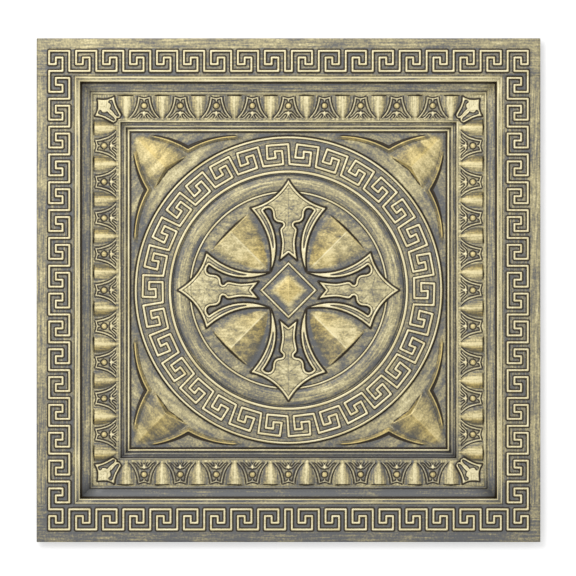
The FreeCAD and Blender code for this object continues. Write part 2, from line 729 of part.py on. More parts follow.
def make_keys(doc, s, disc):
    """The two Greek keys, each one endless raised line that starts inside the plate."""
    sunk = float(s.sheet_thickness) / 2
    rim = float(s.rim_height + s.sheet_thickness)
    border = doc.addObject("Part::Feature", "border_key")
    top = rim + float(s.key_line_height)
    path = border_key_path(s)
    border.Shape = ridge(path, float(s.key_line_width), rim - sunk, top)
    floor = float(s.ring_floor)
    ring = doc.addObject("Part::Feature", "ring_key")
    top = floor + float(s.ring_line_height)
    path = ring_key_path(s, disc)
    ring.Shape = ridge(path, float(s.ring_line_width), floor - sunk, top)
    return [border, ring]


# The sheet between the dies


def fused(doc, name, forms):
    """The forms as one body."""
    body = doc.addObject("Part::MultiFuse", name)
    body.Shapes = forms
    body.Refine = False
    return body


def make_tile(doc, s):
    """The pressed sheet between the face die and the lowered back die, with the keys on its face.

    The back die has no eggs, palmettes or fine round lines.
    """
    frame, field, coffer_half, band = make_frame(doc, s)
    disc = Disc(s, coffer_half)
    shared = [field, make_skirt(doc, s, coffer_half, disc), make_diamond(doc, s)]
    shared += make_leaves(doc, s, coffer_half, disc) + make_petals(doc, s, disc)
    shared += make_arms(doc, s, disc) + [frame]
    fine = [make_disc(doc, s, disc, "fine_disc", True)]
    fine += make_eggs(doc, s, band) + make_palmettes(doc, s, band)
    face = fused(doc, "face_die", shared + fine)
    back = fused(doc, "back_die", shared + [make_disc(doc, s, disc, "plain_disc", False)])
    lowered = doc.addObject("Part::Compound", "lowered_back_die")
    lowered.Links = [back]
    lowered.setExpression("Placement.Base.z", f"-{s.sheet_thickness.text}")
    sheet = doc.addObject("Part::Cut", "sheet")
    sheet.Base = face
    sheet.Tool = lowered
    sheet.Refine = False
    return fused(doc, "pressed_tile", [sheet] + make_keys(doc, s, disc))


def write_parts(doc, parts):
    """Check every object and every part, then write the parts."""
    for item in doc.Objects:
        if "Invalid" in item.State or "Error" in item.State:
            raise RuntimeError(f"{item.Label} didn't build: {item.State}")
    for part in parts:
        if part.Shape.isNull() or not part.Shape.isValid():
            raise RuntimeError(f"{part.Label} has no valid shape")
        if len(part.Shape.Solids) != 1:
            raise RuntimeError(f"{part.Label} isn't one solid but {len(part.Shape.Solids)}")
    os.makedirs("parts", exist_ok=True)
    for part in parts:
        part.Shape.exportStep(f"parts/{part.Label}.step")


def main():
    """Build the document and write the tile."""
    doc = FreeCAD.newDocument("ceiling_tile")
    sizes = Sizes(make_sheet(doc))
    tile = make_tile(doc, sizes)
    doc.recompute()
    write_parts(doc, [tile])


main()
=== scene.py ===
"""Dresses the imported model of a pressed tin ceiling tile, which lies face up on a floor.

The sheet is worked out again from formulas in full relief, as closed slabs of plate: border,
rails, egg bands, fine lines, coffer, key ring, roll and cross. Formulas are in millimetres
from the middle of the tile, and are turned to metres where a mesh is made.
"""

import math

import bpy
import numpy as np
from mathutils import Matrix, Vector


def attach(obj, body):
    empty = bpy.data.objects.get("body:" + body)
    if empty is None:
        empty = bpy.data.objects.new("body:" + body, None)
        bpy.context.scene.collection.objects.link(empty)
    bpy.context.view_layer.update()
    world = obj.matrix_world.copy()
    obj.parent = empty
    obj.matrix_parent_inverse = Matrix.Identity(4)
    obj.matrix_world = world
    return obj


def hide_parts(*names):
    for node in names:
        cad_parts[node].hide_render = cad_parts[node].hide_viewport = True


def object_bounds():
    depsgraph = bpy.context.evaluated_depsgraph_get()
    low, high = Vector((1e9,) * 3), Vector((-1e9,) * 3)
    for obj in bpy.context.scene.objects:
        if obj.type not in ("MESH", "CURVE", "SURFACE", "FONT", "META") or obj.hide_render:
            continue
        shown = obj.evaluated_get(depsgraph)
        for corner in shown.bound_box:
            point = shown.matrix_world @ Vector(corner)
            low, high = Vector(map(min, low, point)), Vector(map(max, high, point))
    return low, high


bl_info = {
    "name": "Pressed tin ceiling tile",
    "version": (1, 0, 0),
    "blender": (4, 5, 0),
    "location": "3D View > Sidebar > Tile",
    "description": "Square sheet of tin plate pressed in relief, with an antique brass finish",
    "category": "Add Mesh",
}

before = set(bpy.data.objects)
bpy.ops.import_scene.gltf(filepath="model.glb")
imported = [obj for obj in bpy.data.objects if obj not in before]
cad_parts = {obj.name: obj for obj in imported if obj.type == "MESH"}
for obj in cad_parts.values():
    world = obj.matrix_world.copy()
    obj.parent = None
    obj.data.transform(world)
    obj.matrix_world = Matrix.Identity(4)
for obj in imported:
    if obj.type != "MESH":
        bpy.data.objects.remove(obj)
CAD_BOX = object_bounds()

MILLIMETRE = 0.001

# The sheet, as the frame has it
TILE_HALF = round(CAD_BOX[1].x / MILLIMETRE, 2)
TOP_LEVEL = round(CAD_BOX[1].z / MILLIMETRE, 2)

# Sizes that the solid model has too
PLATE = 0.4
BORDER_INSIDE = 256.0
BAND_OUTSIDE, BAND_INSIDE = 233.4, 203.4
COFFER_HALF = 189.8
DISC_EDGE = 184.6
ROLL_OUTSIDE, ROLL_INSIDE = 138.2, 119.0
CROSS_EDGE = 116.3
SKIRT_LEVEL = 1.4
FIELD_LEVEL = 0.4
RIM_LEVEL = 10.4

# Distance at which a line no longer shows. A line is moved as far away where it ends
FAR = 3.0

# Rows of the border key, from the inner to the outer, its unit as columns and rows, and the
# columns from the middle of a side to the outer row and to the inner one
KEY_ROWS = (262.4, 270.5, 278.5, 286.5)
KEY_UNIT = ((0, 0), (2, 0), (2, 2), (1, 2), (1, 1), (0, 1), (0, 3), (3, 3), (3, 0))
TOP_COLUMNS, SIDE_COLUMNS = 35.5, 31.5
MARGIN_INSIDE = 289.3

# Rows of the ring's key, and its unit as shares of its angle
RING_ROWS = (151.0, 159.0, 166.9, 174.8)
RING_UNIT = (
    (0.0, 0), (0.7625, 0), (0.7375, 2), (0.483, 2), (0.5, 1), (0.2, 1), (0.242, 3), (0.95, 3),
)
RING_UNITS = 30
RING_START = 89.5


# Curves and distances in the plane


def smooth(low, high, value):
    """0 at low, 1 at high, and between them 3t^2 - 2t^3."""
    t = np.clip((value - low) / (high - low), 0.0, 1.0)
    return t * t * (3.0 - 2.0 * t)


def bump(gap, half, top):
    """The section of a line: 1 within top of its middle, 0 beyond half."""
    return 1.0 - smooth(top, half, gap)


def ramp(value, pairs):
    """Straight lines from pair to pair of a place and its value."""
    return np.interp(value, *np.array(pairs).T)


def distance(x, y, path):
    """Distance of each point to a line of straight runs.

    On the run from a to b the nearest point is at the share clip((p - a).(b - a) / |b - a|^2).
    """
    nearest = np.full(x.shape, np.inf)
    for (ax, ay), (bx, by) in zip(path[:-1], path[1:]):
        run_x, run_y = bx - ax, by - ay
        share = ((x - ax) * run_x + (y - ay) * run_y) / (run_x * run_x + run_y * run_y)
        share = np.clip(share, 0.0, 1.0)
        gap = (x - ax - share * run_x) ** 2 + (y - ay - share * run_y) ** 2
        nearest = np.minimum(nearest, gap)
    return np.sqrt(nearest)


def inside(x, y, outline):
    """True where a ray to the right crosses the closed outline an odd number of times."""
    odd = np.zeros(x.shape, dtype=bool)
    for (ax, ay), (bx, by) in zip(outline, outline[1:] + outline[:1]):
        if ay != by:
            crosses = (ay > y) != (by > y)
            odd ^= crosses & (x < ax + (y - ay) * (bx - ax) / (by - ay))
    return odd


def depth_in(x, y, edge, rest):
    """Distance to the edge, positive within the outline that the edge and the rest close."""
    gap = distance(x, y, edge)
    return np.where(inside(x, y, edge + rest), gap, -gap)


def bow(start, end, depth, count=12):
    """Points of a parabola from start to end, without the last, depth to the left of the way."""
    way_x, way_y = end[0] - start[0], end[1] - start[1]
    length = math.hypot(way_x, way_y)
    share = np.arange(count) / count
    swell = 4.0 * depth * share * (1.0 - share) / length
    xs = start[0] + way_x * share - way_y * swell
    ys = start[1] + way_y * share + way_x * swell
    return list(zip(xs.tolist(), ys.tolist()))


def soft_section(corners, blur=0.22):
    """Places and levels of a section whose corners are rounded by a Gaussian of that width."""
    step = 0.05
    places, levels = np.array(sorted(corners)).T
    reach = int(4 * blur / step)
    along = np.arange(places[0] - 4 * blur, places[-1] + 4 * blur, step)
    level = np.interp(along, places, levels)
    offsets = np.arange(-reach, reach + 1) * step
    weight = np.exp(-0.5 * (offsets / blur) ** 2)
    weight /= weight.sum()
    padded = np.concatenate([np.full(reach, level[0]), level, np.full(reach, level[-1])])
    return along, np.convolve(padded, weight, mode="valid")


def folded(x, y):
    """Distance along and off the nearest diagonal: (|x| + |y|) / sqrt(2), ||x| - |y|| / sqrt(2)."""
    ax, ay = np.abs(x), np.abs(y)
    return (ax + ay) / math.sqrt(2), np.abs(ax - ay) / math.sqrt(2)


class Face:
    """Level and paint at many points of the face.

    Level is in millimetres above the floor. Bright and dark are distances to the edge of the
    nearest rubbed line and of the nearest dark one, negative within them; some dark lines are
    painted shadows. Brass is the share of brass paint over the patina, lowered in places as
    painted shade, and bronze that of a warm glaze over the brass.
    """

    def __init__(self, level, brass):
        self.level = level
        self.brass = np.zeros(level.shape) + brass
        self.bronze = np.zeros(level.shape)
        self.bright = np.full(level.shape, np.inf)
        self.dark = np.full(level.shape, np.inf)

    def rub(self, gap, half, outline=0.0):
        """A rubbed line where gap is its distance, with a dark outline along both sides."""
        self.bright = np.minimum(self.bright, gap - half)
        if outline:
            self.dark = np.minimum(self.dark, gap - half - outline)

    def shade(self, gap, half):
        """A dark line where gap is its distance."""
        self.dark = np.minimum(self.dark, gap - half)

    def change(self, where, **values):
        """Give some of its values anew where a condition holds."""
        for key, value in values.items():
            setattr(self, key, np.where(where, value, getattr(self, key)))

    def put(self, where, piece):
        """Put the values of a part in at its points."""
        for key, values in vars(self).items():
            values[where] = getattr(piece, key)

    def add(self, where, ornament, places, settings):
        """Let an ornament change the face at some of its points, of which it gets the places."""
        piece = Face(self.level[where], self.brass[where])
        for key in ("bronze", "bright", "dark"):
            setattr(piece, key, getattr(self, key)[where])
        ornament(piece, *[place[where] for place in places], settings)
        self.put(where, piece)

    def clear(self, cover):
        """Move the lines already there away, as far as cover in millimetres."""
        self.bright = np.maximum(self.bright, cover)
        self.dark = np.maximum(self.dark, cover)


# Square frame: margin, key, rail, cove, bead, egg-and-dart band and fine lines

# Distance from the middle of the tile and level of each corner of the section
FRAME_SECTION = soft_section([
    (TILE_HALF, RIM_LEVEL), (BORDER_INSIDE, RIM_LEVEL), (254.7, TOP_LEVEL), (253.6, 12.1),
    (251.3, 12.1), (250.3, TOP_LEVEL),
    (248.8, 9.4), (245.5, 7.65), (242.3, 6.6), (239.1, 6.2), (238.2, 6.05), (236.8, 7.3),
    (235.3, 7.3), (234.2, 6.2), (233.2, 6.1), (225.9, 6.05), (218.4, 5.5), (210.9, 4.4),
    (204.0, 3.0), (203.1, 3.4), (202.4, 3.7), (201.2, 3.7), (200.3, 1.9), (199.0, 1.9),
    (198.4, 2.3), (197.9, 1.8), (197.2, 1.8), (196.4, 2.7), (195.1, 2.7), (194.2, 0.9),
    (192.9, 0.9), (192.0, 1.7), (190.7, 1.7), (189.7, FIELD_LEVEL), (180.0, FIELD_LEVEL),
])

# Middle, half width and outline of each rubbed line, and middle and half width of each dark one
FRAME_LINES = (
    (254.9, 0.85, 0.0), (250.5, 0.75, 0.0), (235.9, 0.2, 0.0), (202.0, 0.3, 0.0),
    (195.7, 0.25, 0.0), (191.3, 0.9, 0.7),
)
FRAME_SHADES = (
    (256.9, 0.55), (253.4, 0.0), (248.2, 1.3), (237.5, 0.45), (200.1, 0.5), (198.0, 0.3),
    (193.8, 0.3), (188.8, 0.9),
)

# Place and share of brass
FRAME_BRASS = (
    (189.0, 0.15), (194.2, 0.2), (195.0, 0.5), (196.5, 0.5), (197.5, 0.2), (200.5, 0.3),
    (202.0, 0.7), (206.5, 0.62), (208.0, 0.3), (230.0, 0.3), (231.5, 0.6), (235.0, 0.62),
    (236.5, 0.5), (238.0, 0.25), (243.0, 0.3), (247.0, 0.15), (250.0, 0.58), (252.5, 0.6),
    (255.5, 0.58), (256.8, 0.16), (288.5, 0.16), (289.5, 0.45), (301.5, 0.52),
)

# Where the ornaments lie across the frame, and where a corner's begins along a side
BAND_ZONE, KEY_ZONE = (203.3, 234.6), (255.8, 291.0)
CORNER_START = 196.0


def border_key_path():
    """The border key in the first quarter, from the middle of the right side to the top's.

    Eight units run up the side, the corner has a line of its own, and eight more run back
    along the top.
    """
    inner, outer = KEY_ROWS[0], KEY_ROWS[3]
    column, side_column = outer / TOP_COLUMNS, inner / SIDE_COLUMNS
    path = [(inner, 0.0)]
    for unit in range(8):
        start = (unit * 4 + 0.5) * side_column
        path += [(KEY_ROWS[row], start + along * side_column) for along, row in KEY_UNIT]
    low, high = KEY_ROWS[1], KEY_ROWS[2]
    path[-1:] = [(low, inner), (low, high), (high, high), (high, low), (outer, low)]
    path += [(outer, outer), (inner, outer), (inner, inner)]
    for unit in range(1, 9):
        start = outer - unit * 4 * column
        path += [(start - along * column, KEY_ROWS[row]) for along, row in KEY_UNIT[1:]]
    return path + [(0.0, inner)]


# Half of a dart, and an egg's edge, as distances from the dart's axis and from the tile's middle
EGG_PITCH, LAST_DART = 43.2, 4
EGG_EDGE = [
    (12.0, 232.6), (12.1, 226.0), (12.8, 221.0), (14.2, 216.0), (16.3, 211.5), (19.2, 207.0),
]
EGG_FRAME = [(9.8, 232.0), (9.8, 227.2), (10.4, 223.4), (11.7, 219.4), (13.3, 215.0)]
DART_LINE = [
    (6.2, 230.4), (6.5, 227.2), (7.2, 224.1), (8.6, 219.4), (10.1, 215.6), (11.7, 212.8),
    (13.3, 210.6), (15.5, 208.1), (17.0, 206.6),
]
DART_TOP = [(6.2, 230.4), (2.3, 229.4), (0.0, 228.8), (0.0, 226.4)]
DART_NOTCH = [(2.5, 209.8), (3.0, 210.3)]
DART_STAR = [(0.0, 212.8), (0.0, 210.2), (0.0, 211.6), (3.3, 212.4)]
DART_FANS = (
    [(6.4, 213.6), (8.6, 211.3), (10.1, 209.7), (12.3, 208.1)],
    [(3.3, 212.4), (5.4, 211.3), (7.0, 209.4), (8.6, 207.5), (10.4, 205.9), (12.3, 205.0)],
    [(3.6, 209.4), (4.8, 207.5), (6.7, 205.6)],
    [(0.8, 208.6), (2.3, 205.9)],
)
DART_GROOVES = (
    [(0.0, 230.4), (2.9, 230.9), (5.4, 231.9), (6.8, 232.8)],
    [
        (8.1, 231.5), (8.3, 228.1), (8.9, 224.7), (10.0, 220.6), (11.2, 216.9), (12.6, 214.1),
        (14.2, 211.6), (16.1, 209.1), (18.4, 206.6),
    ],
    [
        (1.2, 226.2), (1.9, 227.5), (3.3, 228.3), (4.7, 229.1), (5.0, 226.3), (5.8, 222.5),
        (6.7, 218.8), (7.9, 215.6), (9.5, 212.5), (10.8, 210.3), (12.6, 208.2), (14.2, 206.3),
    ],
    [
        (0.0, 214.6), (3.9, 214.1), (5.4, 213.1), (7.0, 211.3), (8.9, 209.1), (10.4, 207.5),
        (12.6, 206.3),
    ],
    [(2.5, 209.8), (3.9, 210.8), (5.1, 209.4), (6.7, 207.5), (8.6, 205.6), (10.0, 204.6)],
    [(2.5, 208.8), (3.3, 206.9), (4.5, 205.5)],
    [(0.0, 207.8), (1.1, 206.6), (1.7, 205.8)],
)
BALL_MIDDLE, BALL_RADIUS, BALL_HEIGHT = 220.7, 3.0, 1.9

# Share of an egg's half width and share of brass there: brass on the egg's high middle, partly a
# painted highlight, with painted shade towards its edges
EGG_BRASS = ((0.0, 1.3), (0.3, 1.0), (0.7, 0.62), (1.0, 0.3), (1.2, 0.28))


def half_width(out, line):
    """Distance of an outline from its axis, at the distance out from the tile's middle."""
    return ramp(out, [(place, reach) for reach, place in line[::-1]])


def sphere(share):
    """The section of a dome: sqrt(1 - share^2), and 0 beyond its edge."""
    return np.sqrt(np.clip(1.0 - share ** 2, 0.0, 1.0))


def nearest(u, v, paths):
    """Distance of each point to the nearest of some lines."""
    return np.minimum.reduce([distance(u, v, path) for path in paths])


def add_eggs(face, along, out, glaze, settings):
    """The egg-and-dart ornament.

    Along is the distance from the middle of the side. A dart stands at each multiple of the
    pitch up to the last, an egg halfway between two. An egg is a dome over its half width w at
    the distance out, its height times sqrt(1 - (u / w)^2), where u is the distance from its
    axis. Its flank away from the middle of the side gets painted shade, browner by glaze.
    """
    number = np.clip(np.round(along / EGG_PITCH), 0, LAST_DART)
    u = np.abs(along - number * EGG_PITCH)
    egg_u = np.abs(EGG_PITCH / 2 - u)
    edge = half_width(out, EGG_EDGE)
    share = egg_u / (EGG_PITCH / 2 - edge + 3.0 * smooth(232.0, 234.0, out))
    ball = np.hypot(u, out - BALL_MIDDLE)
    line = nearest(u, out, (DART_LINE, DART_TOP))
    ring = distance(u, out, EGG_FRAME)
    grooves = np.minimum(nearest(u, out, DART_GROOVES), np.abs(ball - BALL_RADIUS - 0.9))

    # Relief
    ends = smooth(205.4, 208.4, out) * (1.0 - smooth(232.0, 232.9, out))
    height = settings.egg_height / MILLIMETRE * sphere(share) * ends
    height = height + settings.dart_height / MILLIMETRE * bump(line, 1.2, 0.3)
    height = height + 0.4 * bump(ring, 1.2, 0.3) - 0.45 * bump(grooves, 1.0, 0.2)
    height = height + BALL_HEIGHT * sphere(ball / BALL_RADIUS)
    star = distance(u, out, DART_STAR) - 0.7 * smooth(2.0, 0.5, u)
    height = height + 1.1 * bump(star, 1.2, 0.2)
    fans = nearest(u, out, DART_FANS)
    height = height + 0.5 * bump(fans, 1.0, 0.2)
    cover = 1.0 - smooth(204.5, 206.5, along)
    fade = smooth(203.6, 205.2, out) * (1.0 - smooth(232.9, 233.7, out)) * cover
    face.level = face.level + height * fade

    # Paint
    in_dart = u < half_width(out, DART_LINE) + 1.5
    offset = along - (np.floor(along / EGG_PITCH) + 0.5) * EGG_PITCH
    flank = smooth(0.3, 6.0, offset) * (share < 1.1) * ~in_dart
    foot = smooth(208.5, 205.5, out)
    head = smooth(230.6, 231.6, out - 0.35 * np.minimum(u, 7.0))
    # Painted shade: the flank away from the middle of the side gets less brass and more glaze
    brass = ramp(share, EGG_BRASS) - 0.35 * flank * glaze
    brass = np.maximum(brass, 0.5 * bump(ring, 1.2, 0.4))
    brass = np.where(in_dart, 0.35 + 0.35 * head, brass)
    brass = np.maximum(brass, 0.6 * foot)
    brass = np.where(ball < BALL_RADIUS, 1.15, brass)
    bronze = 0.3 * (share < 1.0) * ~in_dart + 0.7 * flank * smooth(204.0, 216.0, out)
    bronze = bronze * glaze
    bronze = np.where(ball < BALL_RADIUS, 0.6, bronze)
    face.change(fade > 0.4, brass=brass, bronze=bronze)

    # Lines
    off_band = 4.0 * (1.0 - fade)
    face.rub(line + off_band, 0.45)
    face.rub(star + off_band, 0.5)
    face.rub(fans + off_band, 0.3)
    # A thin painted highlight down the middle of each egg
    face.rub(egg_u + off_band + FAR * smooth(211.0, 207.0, out), 0.1)
    face.shade(grooves + off_band + 0.5 * smooth(207.5, 205.0, out), 0.72)
    face.shade(distance(u, out, DART_NOTCH), 0.7)
    # A painted shadow along the top of each egg, below the bead
    egg_top_shadow = np.abs(out - 233.3) + FAR * smooth(1.1, 0.95, u / edge)
    face.shade(egg_top_shadow + FAR * (1.0 - cover), 1.0)


# Half of the palmette in the frame's corners: distance along and off the diagonal, from its tip
PALMETTE_TIP, PALMETTE_FOOT = 323.1, 291.0
PALMETTE_OUTLINE = [
    (PALMETTE_TIP, 0.0), (321.1, 1.5), (319.3, 3.0), (316.8, 5.4), (314.8, 7.7), (313.3, 10.2),
    (312.4, 12.5), (311.8, 14.6), (311.3, 16.4), (309.1, 14.4), (306.9, 12.7), (303.7, 11.0),
    (300.6, 9.7), (297.4, 8.7), (294.1, 7.7), (291.3, 7.0), (290.1, 6.4), (289.7, 4.3),
    (289.4, 2.7), (289.9, 1.2), (PALMETTE_FOOT, 0.0),
]
PALMETTE_SLOT = [
    (310.6, 11.8), (311.8, 10.7), (312.4, 9.2), (312.4, 7.2), (311.0, 6.1), (309.5, 6.8),
    (308.0, 6.8), (306.5, 5.8), (305.5, 3.9), (304.8, 1.9), (303.0, 2.2), (300.8, 2.3),
    (297.8, 2.0), (294.9, 1.6), (292.7, 1.8), (290.7, 2.8), (291.1, 4.8), (294.0, 5.8),
    (297.7, 6.8), (300.8, 7.6), (304.1, 8.9), (307.4, 10.6), (310.0, 11.8), (310.6, 11.8),
]


def add_palmette(face, along, off, settings):
    """The palmette on the frame's diagonal: a plate with a slot on each side of its stem.

    Its level follows the depths in from its outline and in from the edge of its slot.
    """
    past_axis = [(PALMETTE_FOOT, -1.0), (PALMETTE_TIP, -1.0)]
    depth = depth_in(along, off, PALMETTE_OUTLINE, past_axis)
    slot = depth_in(along, off, PALMETTE_SLOT, [])
    height = settings.palmette_height / MILLIMETRE * smooth(-0.6, 0.8, depth)
    height = height - 1.3 * smooth(-0.5, 0.8, slot) * smooth(0.0, 1.0, depth)
    face.level = face.level + height - 0.4 * bump(np.abs(depth + 1.3), 1.0, 0.1)
    face.clear(np.where(depth > -1.5, FAR, -FAR))
    face.change(depth > -0.2, brass=1.2 - 1.0 * smooth(-0.3, 0.5, slot))
    face.change(depth > -1.0, bronze=0.0)
    face.rub(np.abs(depth - 1.1), 0.6)
    face.rub(np.abs(slot + 0.9), 0.4)
    face.shade(np.abs(depth + 0.8), 1.05)
    face.shade(np.abs(slot - 0.6), 0.65)
    face.change(slot > -0.3, bright=np.maximum(face.bright, slot + 0.3))


def add_border_key(face, x, y, settings):
    """The border key: a line along its path in the first quarter."""
    gap = distance(x, y, border_key_path())
    face.level = face.level + settings.key_height / MILLIMETRE * bump(gap, 1.95, 0.6)
    face.rub(gap, 1.0, 1.8)


def frame_face(x, y, settings):
    """The square frame: its section at the distance max(|x|, |y|), with its ornament."""
    ax, ay = np.abs(x), np.abs(y)
    out, along = np.maximum(ax, ay), np.minimum(ax, ay)
    face = Face(np.interp(out, *FRAME_SECTION), ramp(out, FRAME_BRASS))
    for middle, half, outline in FRAME_LINES:
        face.rub(np.abs(out - middle), half, outline)
    for middle, half in FRAME_SHADES:
        face.shade(np.abs(out - middle), half)
    band = (out > BAND_ZONE[0]) & (out < BAND_ZONE[1])
    key = (out > KEY_ZONE[0]) & (out < KEY_ZONE[1])
    # Eggs on the left and right sides get more warm glaze and stronger painted shade on their far
    # flanks
    glaze = np.where(ax > ay, 1.0, 0.35)
    face.add(band, add_eggs, (along, out, glaze), settings)
    face.add(band & (along > CORNER_START), add_palmette, folded(x, y), settings)
    face.add(key, add_border_key, (ax, ay), settings)

    # The side at the bottom is darker, with less brass and narrower rubbed lines, and the one at the
    # right has more brass
    bottom, right = smooth(0.8, 1.0, -y / out), smooth(0.8, 1.0, x / out)
    face.brass = face.brass - np.where(band, 0.05, 0.42) * bottom + 0.1 * right
    face.bright = face.bright + 0.2 * bottom * (out < BORDER_INSIDE)
    return face


# Coffer: field, skirt and leaves in its corners

# Points of the skirt's edge, along and off the diagonal
SKIRT_TIP, CUSP, SKIRT_END = (262.0, 0.0), (203.7, 33.8), (168.9, 90.8)
SKIRT_LIP = bow(SKIRT_TIP, CUSP, -5.2) + bow(CUSP, SKIRT_END, -4.9) + [SKIRT_END]
SKIRT_REST = [(100.0, 160.0), (100.0, -1.0), (SKIRT_TIP[0], -1.0)]

# Where the lip runs out, along the diagonal towards its tip and off the tile's axis at the disc
LIP_TIP, LIP_END = (254.0, 243.0), (52.0, 66.0)

# The leaf: foot and top of its back at its sides, length, half width, ridge and brass
LEAF_FOOT, LEAF_TOP, LEAF_LENGTH, LEAF_HALF = 199.5, 200.6, 64.9, 25.5
LEAF_RIDGE = ((208.0, 7.4), (254.7, 1.8), (264.4, 0.3))
LEAF_BRASS = ((0.0, 1.05), (0.4, 0.82), (0.78, 0.68), (0.93, 0.36), (1.08, 0.2))


def vault(share):
    """Level of a leaf's or petal's two faces, as a share of its ridge."""
    return ramp(share, ((0.0, 1.0), (0.62, 0.76), (1.0, 0.34)))


def add_leaf(face, along, off, steep, under):
    """The leaf.

    At the distance s from its foot along the diagonal its half width is w (1 - (s / length)^2).
    Its level falls from the ridge with the share of that width. Its back is a notched slope.
    Steep is true on the face that the glaze darkens, and under on the one turned from the light,
    which gets painted shade.
    """
    half = np.maximum(LEAF_HALF * (1.0 - ((along - LEAF_FOOT) / LEAF_LENGTH) ** 2), 0.01)
    share = off / half
    inward = 1.0 - np.clip(share, 0.0, 1.0)
    back_foot, back_top = LEAF_FOOT + 3.7 * inward, LEAF_TOP + 8.0 * inward
    climb = np.clip((along - back_foot) / (back_top - back_foot), 0.0, 1.0)
    leaf = ramp(along, LEAF_RIDGE) * vault(share) * climb * smooth(1.05, 0.97, share)

    # Paint: the ridge is the most covered, and the tip is left bare
    on_leaf = (share < 1.08) & (along > back_foot)
    on_back = on_leaf & (along < back_top)
    bare = 0.2
    # Painted shade: less brass on the face turned from the light
    covered = ramp(share, LEAF_BRASS) - bare - 0.3 * under * smooth(0.0, 2.0, off)
    before_tip = smooth(262.0, 252.0, along)
    brass = np.where(on_back, 0.62, bare + covered * before_tip)
    stripe = np.exp(-(off / 5.0) ** 2 - ((along - 232.0) / 20.0) ** 2)
    bronze = (0.45 + 0.25 * stripe + 0.3 * steep * smooth(1.0, 0.6, share)) * before_tip
    bronze = np.where(on_back, 0.9, bronze)
    face.change(on_leaf, level=np.maximum(face.level, leaf), brass=brass, bronze=bronze)

    # Lines along the ridge and round the back
    off_ridge = FAR * smooth(213.0, 209.5, along) + FAR * smooth(222.0, 236.0, along)
    face.rub(off + off_ridge, 0.15)
    face.rub(np.abs(along - back_top) + FAR * smooth(0.93, 1.0, share), 0.45)
    face.shade(np.abs(along - back_foot - 0.2) + FAR * smooth(0.85, 1.0, share), 0.8)


def coffer_face(x, y, settings):
    """The coffer round the disc.

    The level goes by the depth in from the skirt's edge: field, lip and skirt. The lip tapers
    off at both ends of that edge.
    """
    ax, ay = np.abs(x), np.abs(y)
    low, high = np.minimum(ax, ay), np.maximum(ax, ay)
    along, off = folded(x, y)
    depth = depth_in(along, off, SKIRT_LIP, SKIRT_REST)
    radius = np.hypot(x, y)
    near_cusp = smooth(52.0, 0.0, np.hypot(along - CUSP[0], off - CUSP[1]))

    # Relief
    taper = smooth(*LIP_TIP, along) * smooth(*LIP_END, low)
    on_skirt = np.maximum(smooth(-2.6, -0.6, depth), smooth(74.0, 52.0, low))
    lip = smooth(-1.8, -0.2, depth) * (1.0 - smooth(0.2, 4.2, depth))
    level = FIELD_LEVEL + (SKIRT_LEVEL - FIELD_LEVEL) * on_skirt
    level = level + settings.lip_height / MILLIMETRE * lip * taper

    # Paint: a pale cloud beside the cusps on the field, and a pale skirt round the leaf
    cloud = np.exp(-((low - 116.0) / 26.0) ** 2 - ((high - 182.0) / 6.0) ** 2)
    pale = smooth(235.0, 198.0, along) * smooth(3.0, 9.0, depth) * smooth(60.0, 20.0, off)
    brass = np.where(depth > 0, 0.36 + 0.34 * pale, 0.2 + 0.3 * cloud)
    face = Face(level, brass * (0.3 + 0.7 * smooth(185.0, 188.0, radius)))
    add_leaf(face, along, off, ay > ax, -y > ax)
    inner = bump(np.abs(depth - 1.2), 3.0, 1.6) * taper
    face.bronze = np.maximum(face.bronze, inner)
    face.brass = face.brass + (0.22 - face.brass) * inner

    # Lines along the lip, which are broader near the cusps, and round the coffer
    face.rub(np.abs(depth) + FAR * (1.0 - taper), 0.5)
    reach = 0.55 + 1.25 * near_cusp
    # Dark band outside the lip's line, broader near the cusps: dark wax at the lip's foot and painted
    # shadow of its wall
    face.shade(np.abs(depth + 1.1 + reach) - reach + FAR * (1.0 - taper), 0.1)
    face.shade(np.abs(depth - 3.4 - 0.6 * near_cusp) + 2.0 * (1.0 - taper), 0.25)
    foot = smooth(COFFER_HALF - 1.4, COFFER_HALF, high)
    face.level = face.level * (1.0 - foot) + FIELD_LEVEL * foot
    face.shade(np.abs(high - COFFER_HALF + 1.0), 0.9)
    face.shade(np.abs(radius - DISC_EDGE - 0.6), 0.85)
    return face


# Disc: ring with its key, roll, thin circle, petals, cross and diamond

ROLL_MIDDLE, ROLL_HALF = (ROLL_OUTSIDE + ROLL_INSIDE) / 2, (ROLL_OUTSIDE - ROLL_INSIDE) / 2
ROLL_FOOT, ROLL_RISE = 1.6, 2.8
ROLL_TURNS = np.linspace(0.0, math.pi, 13)
ROLL_SECTION = list(zip(
    (ROLL_MIDDLE + ROLL_HALF * np.cos(ROLL_TURNS)).tolist(),
    (ROLL_FOOT + ROLL_RISE * np.sin(ROLL_TURNS)).tolist(),
))

# Radius and level of each corner of the section
DISC_SECTION = soft_section(ROLL_SECTION + [
    (187.0, SKIRT_LEVEL), (185.0, SKIRT_LEVEL), (183.5, 4.6), (182.1, 4.6), (181.0, 3.2),
    (143.7, 3.2), (142.7, 4.6), (141.2, 4.6), (138.6, 1.9),
    (118.1, 2.8), (117.2, 2.8), (116.2, SKIRT_LEVEL), (100.0, SKIRT_LEVEL),
])
DISC_LINES = ((182.85, 1.05, 1.1), (142.0, 1.3, 1.0), (117.6, 0.95, 1.1))
DISC_BRASS = (
    (100.0, 0.42), (112.0, 0.42), (116.0, 0.12), (119.0, 0.15), (122.5, 0.38), (126.0, 0.62),
    (131.5, 0.64), (135.5, 0.25), (138.5, 0.12), (143.8, 0.27), (150.0, 0.25), (180.0, 0.2),
    (187.0, 0.15),
)
RING_ZONE = (144.0, 181.0)


